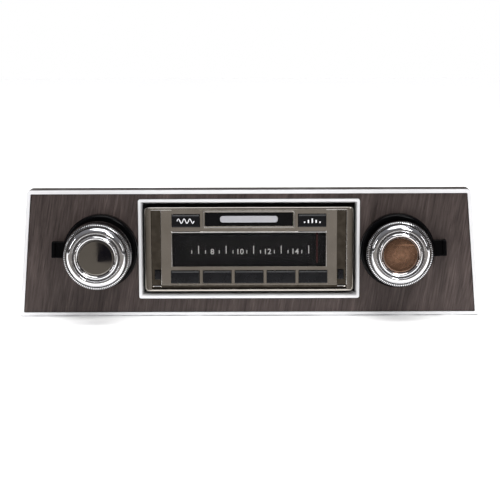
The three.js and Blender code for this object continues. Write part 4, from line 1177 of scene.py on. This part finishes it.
def studio():
    """Pale floor, soft lights, and dark sheets that give the chrome something to reflect."""
    floor_z = CAD_BOX[0].z - 0.0002
    stage_plane("floor", (-4, -4), (4, 4), floor_z, floor_look())
    card = Look("grey card", (0.17, 0.158, 0.145), 0.9, specular=0.0)
    card.mottled(6, 0.1)
    reflected_sheet("reflected_card", (-0.9, -2.6), (0.9, -0.078), floor_z + 0.0003, card.material)

    flag = Look("black flag", (0.011, 0.0105, 0.0150), 0.9, specular=0.0)
    flag.mottled(8, 0.1)
    reflected_sheet("reflected_flag", (-0.0992, -0.36), (-0.080, -0.2384), floor_z + 0.0006,
                    flag.material, lean=-0.014)

    sun = bpy.data.lights.new("sky", "SUN")
    sun.energy = 2.2
    sun.angle = math.radians(60)
    add_object("sky", sun).visible_glossy = False
    softbox("overhead", (0.05, 0.02, 1.1), (0.9, 0.8), 6.5)
    softbox("key", (0.42, -0.75, 0.85), (0.34, 0.28), 4)
    softbox("front", (-0.1, -1.5, 0.75), (1.3, 0.5), 4).visible_glossy = False
    softbox("left_strip", (-0.9, -0.35, 0.35), (0.12, 0.4), 0.8)
    softbox("right_strip", (0.9, -0.3, 0.35), (0.1, 0.4), 0.5)
    softbox("back_fill", (0, 1.4, 0.8), (1.6, 0.6), 5)
    surroundings()


def surroundings():
    """White behind the radio; a grey sky, darker below, in everything that reflects."""
    world = bpy.data.worlds.new("studio")
    bpy.context.scene.world = world
    world.use_nodes = True
    nodes, links = world.node_tree.nodes, world.node_tree.links
    nodes.clear()
    coords, split, ramp, seen, around, paths, pick, out = (nodes.new("ShaderNode" + kind) for kind in (
        "TexCoord", "SeparateXYZ", "ValToRGB", "Background", "Background", "LightPath", "MixShader",
        "OutputWorld"))
    low, high = ramp.color_ramp.elements
    low.position, low.color = 0.02, (0.06, 0.055, 0.052, 1)
    high.position, high.color = 0.9, (0.20, 0.20, 0.21, 1)
    seen.inputs["Color"].default_value = (1, 1, 1, 1)
    for source, target in (
            (coords.outputs["Generated"], split.inputs["Vector"]),
            (split.outputs["Z"], ramp.inputs["Fac"]),
            (ramp.outputs["Color"], around.inputs["Color"]),
            (paths.outputs["Is Camera Ray"], pick.inputs["Fac"]),
            (around.outputs["Background"], pick.inputs[1]),
            (seen.outputs["Background"], pick.inputs[2]),
            (pick.outputs["Shader"], out.inputs["Surface"])):
        links.new(source, target)


def camera():
    """Level view from slightly above and a touch to the right of the dial's centre."""
    DISTANCE, ELEVATION, AZIMUTH, ROLL = 0.732, 8.72, 0.25, -0.22
    AIM = Vector((0.0005, -0.013, AXIS_Z))
    elevation, azimuth, roll = map(math.radians, (ELEVATION, AZIMUTH, ROLL))
    back = Vector((math.sin(azimuth) * math.cos(elevation), -math.cos(azimuth) * math.cos(elevation),
                   math.sin(elevation)))
    turn = back.to_track_quat("Z", "Y").to_matrix().to_4x4() @ Matrix.Rotation(roll, 4, "Z")
    data = bpy.data.cameras.new("camera")
    data.sensor_width = 36
    data.lens = 101.2
    obj = add_object("camera", data)
    obj.matrix_world = Matrix.Translation(AIM + back * DISTANCE) @ turn
    bpy.context.scene.camera = obj


camera()
face()
nose()
dial()
buttons()
controls()
drive()
chassis()
electronics()
studio()
bpy.context.scene.view_settings.view_transform = "Standard"
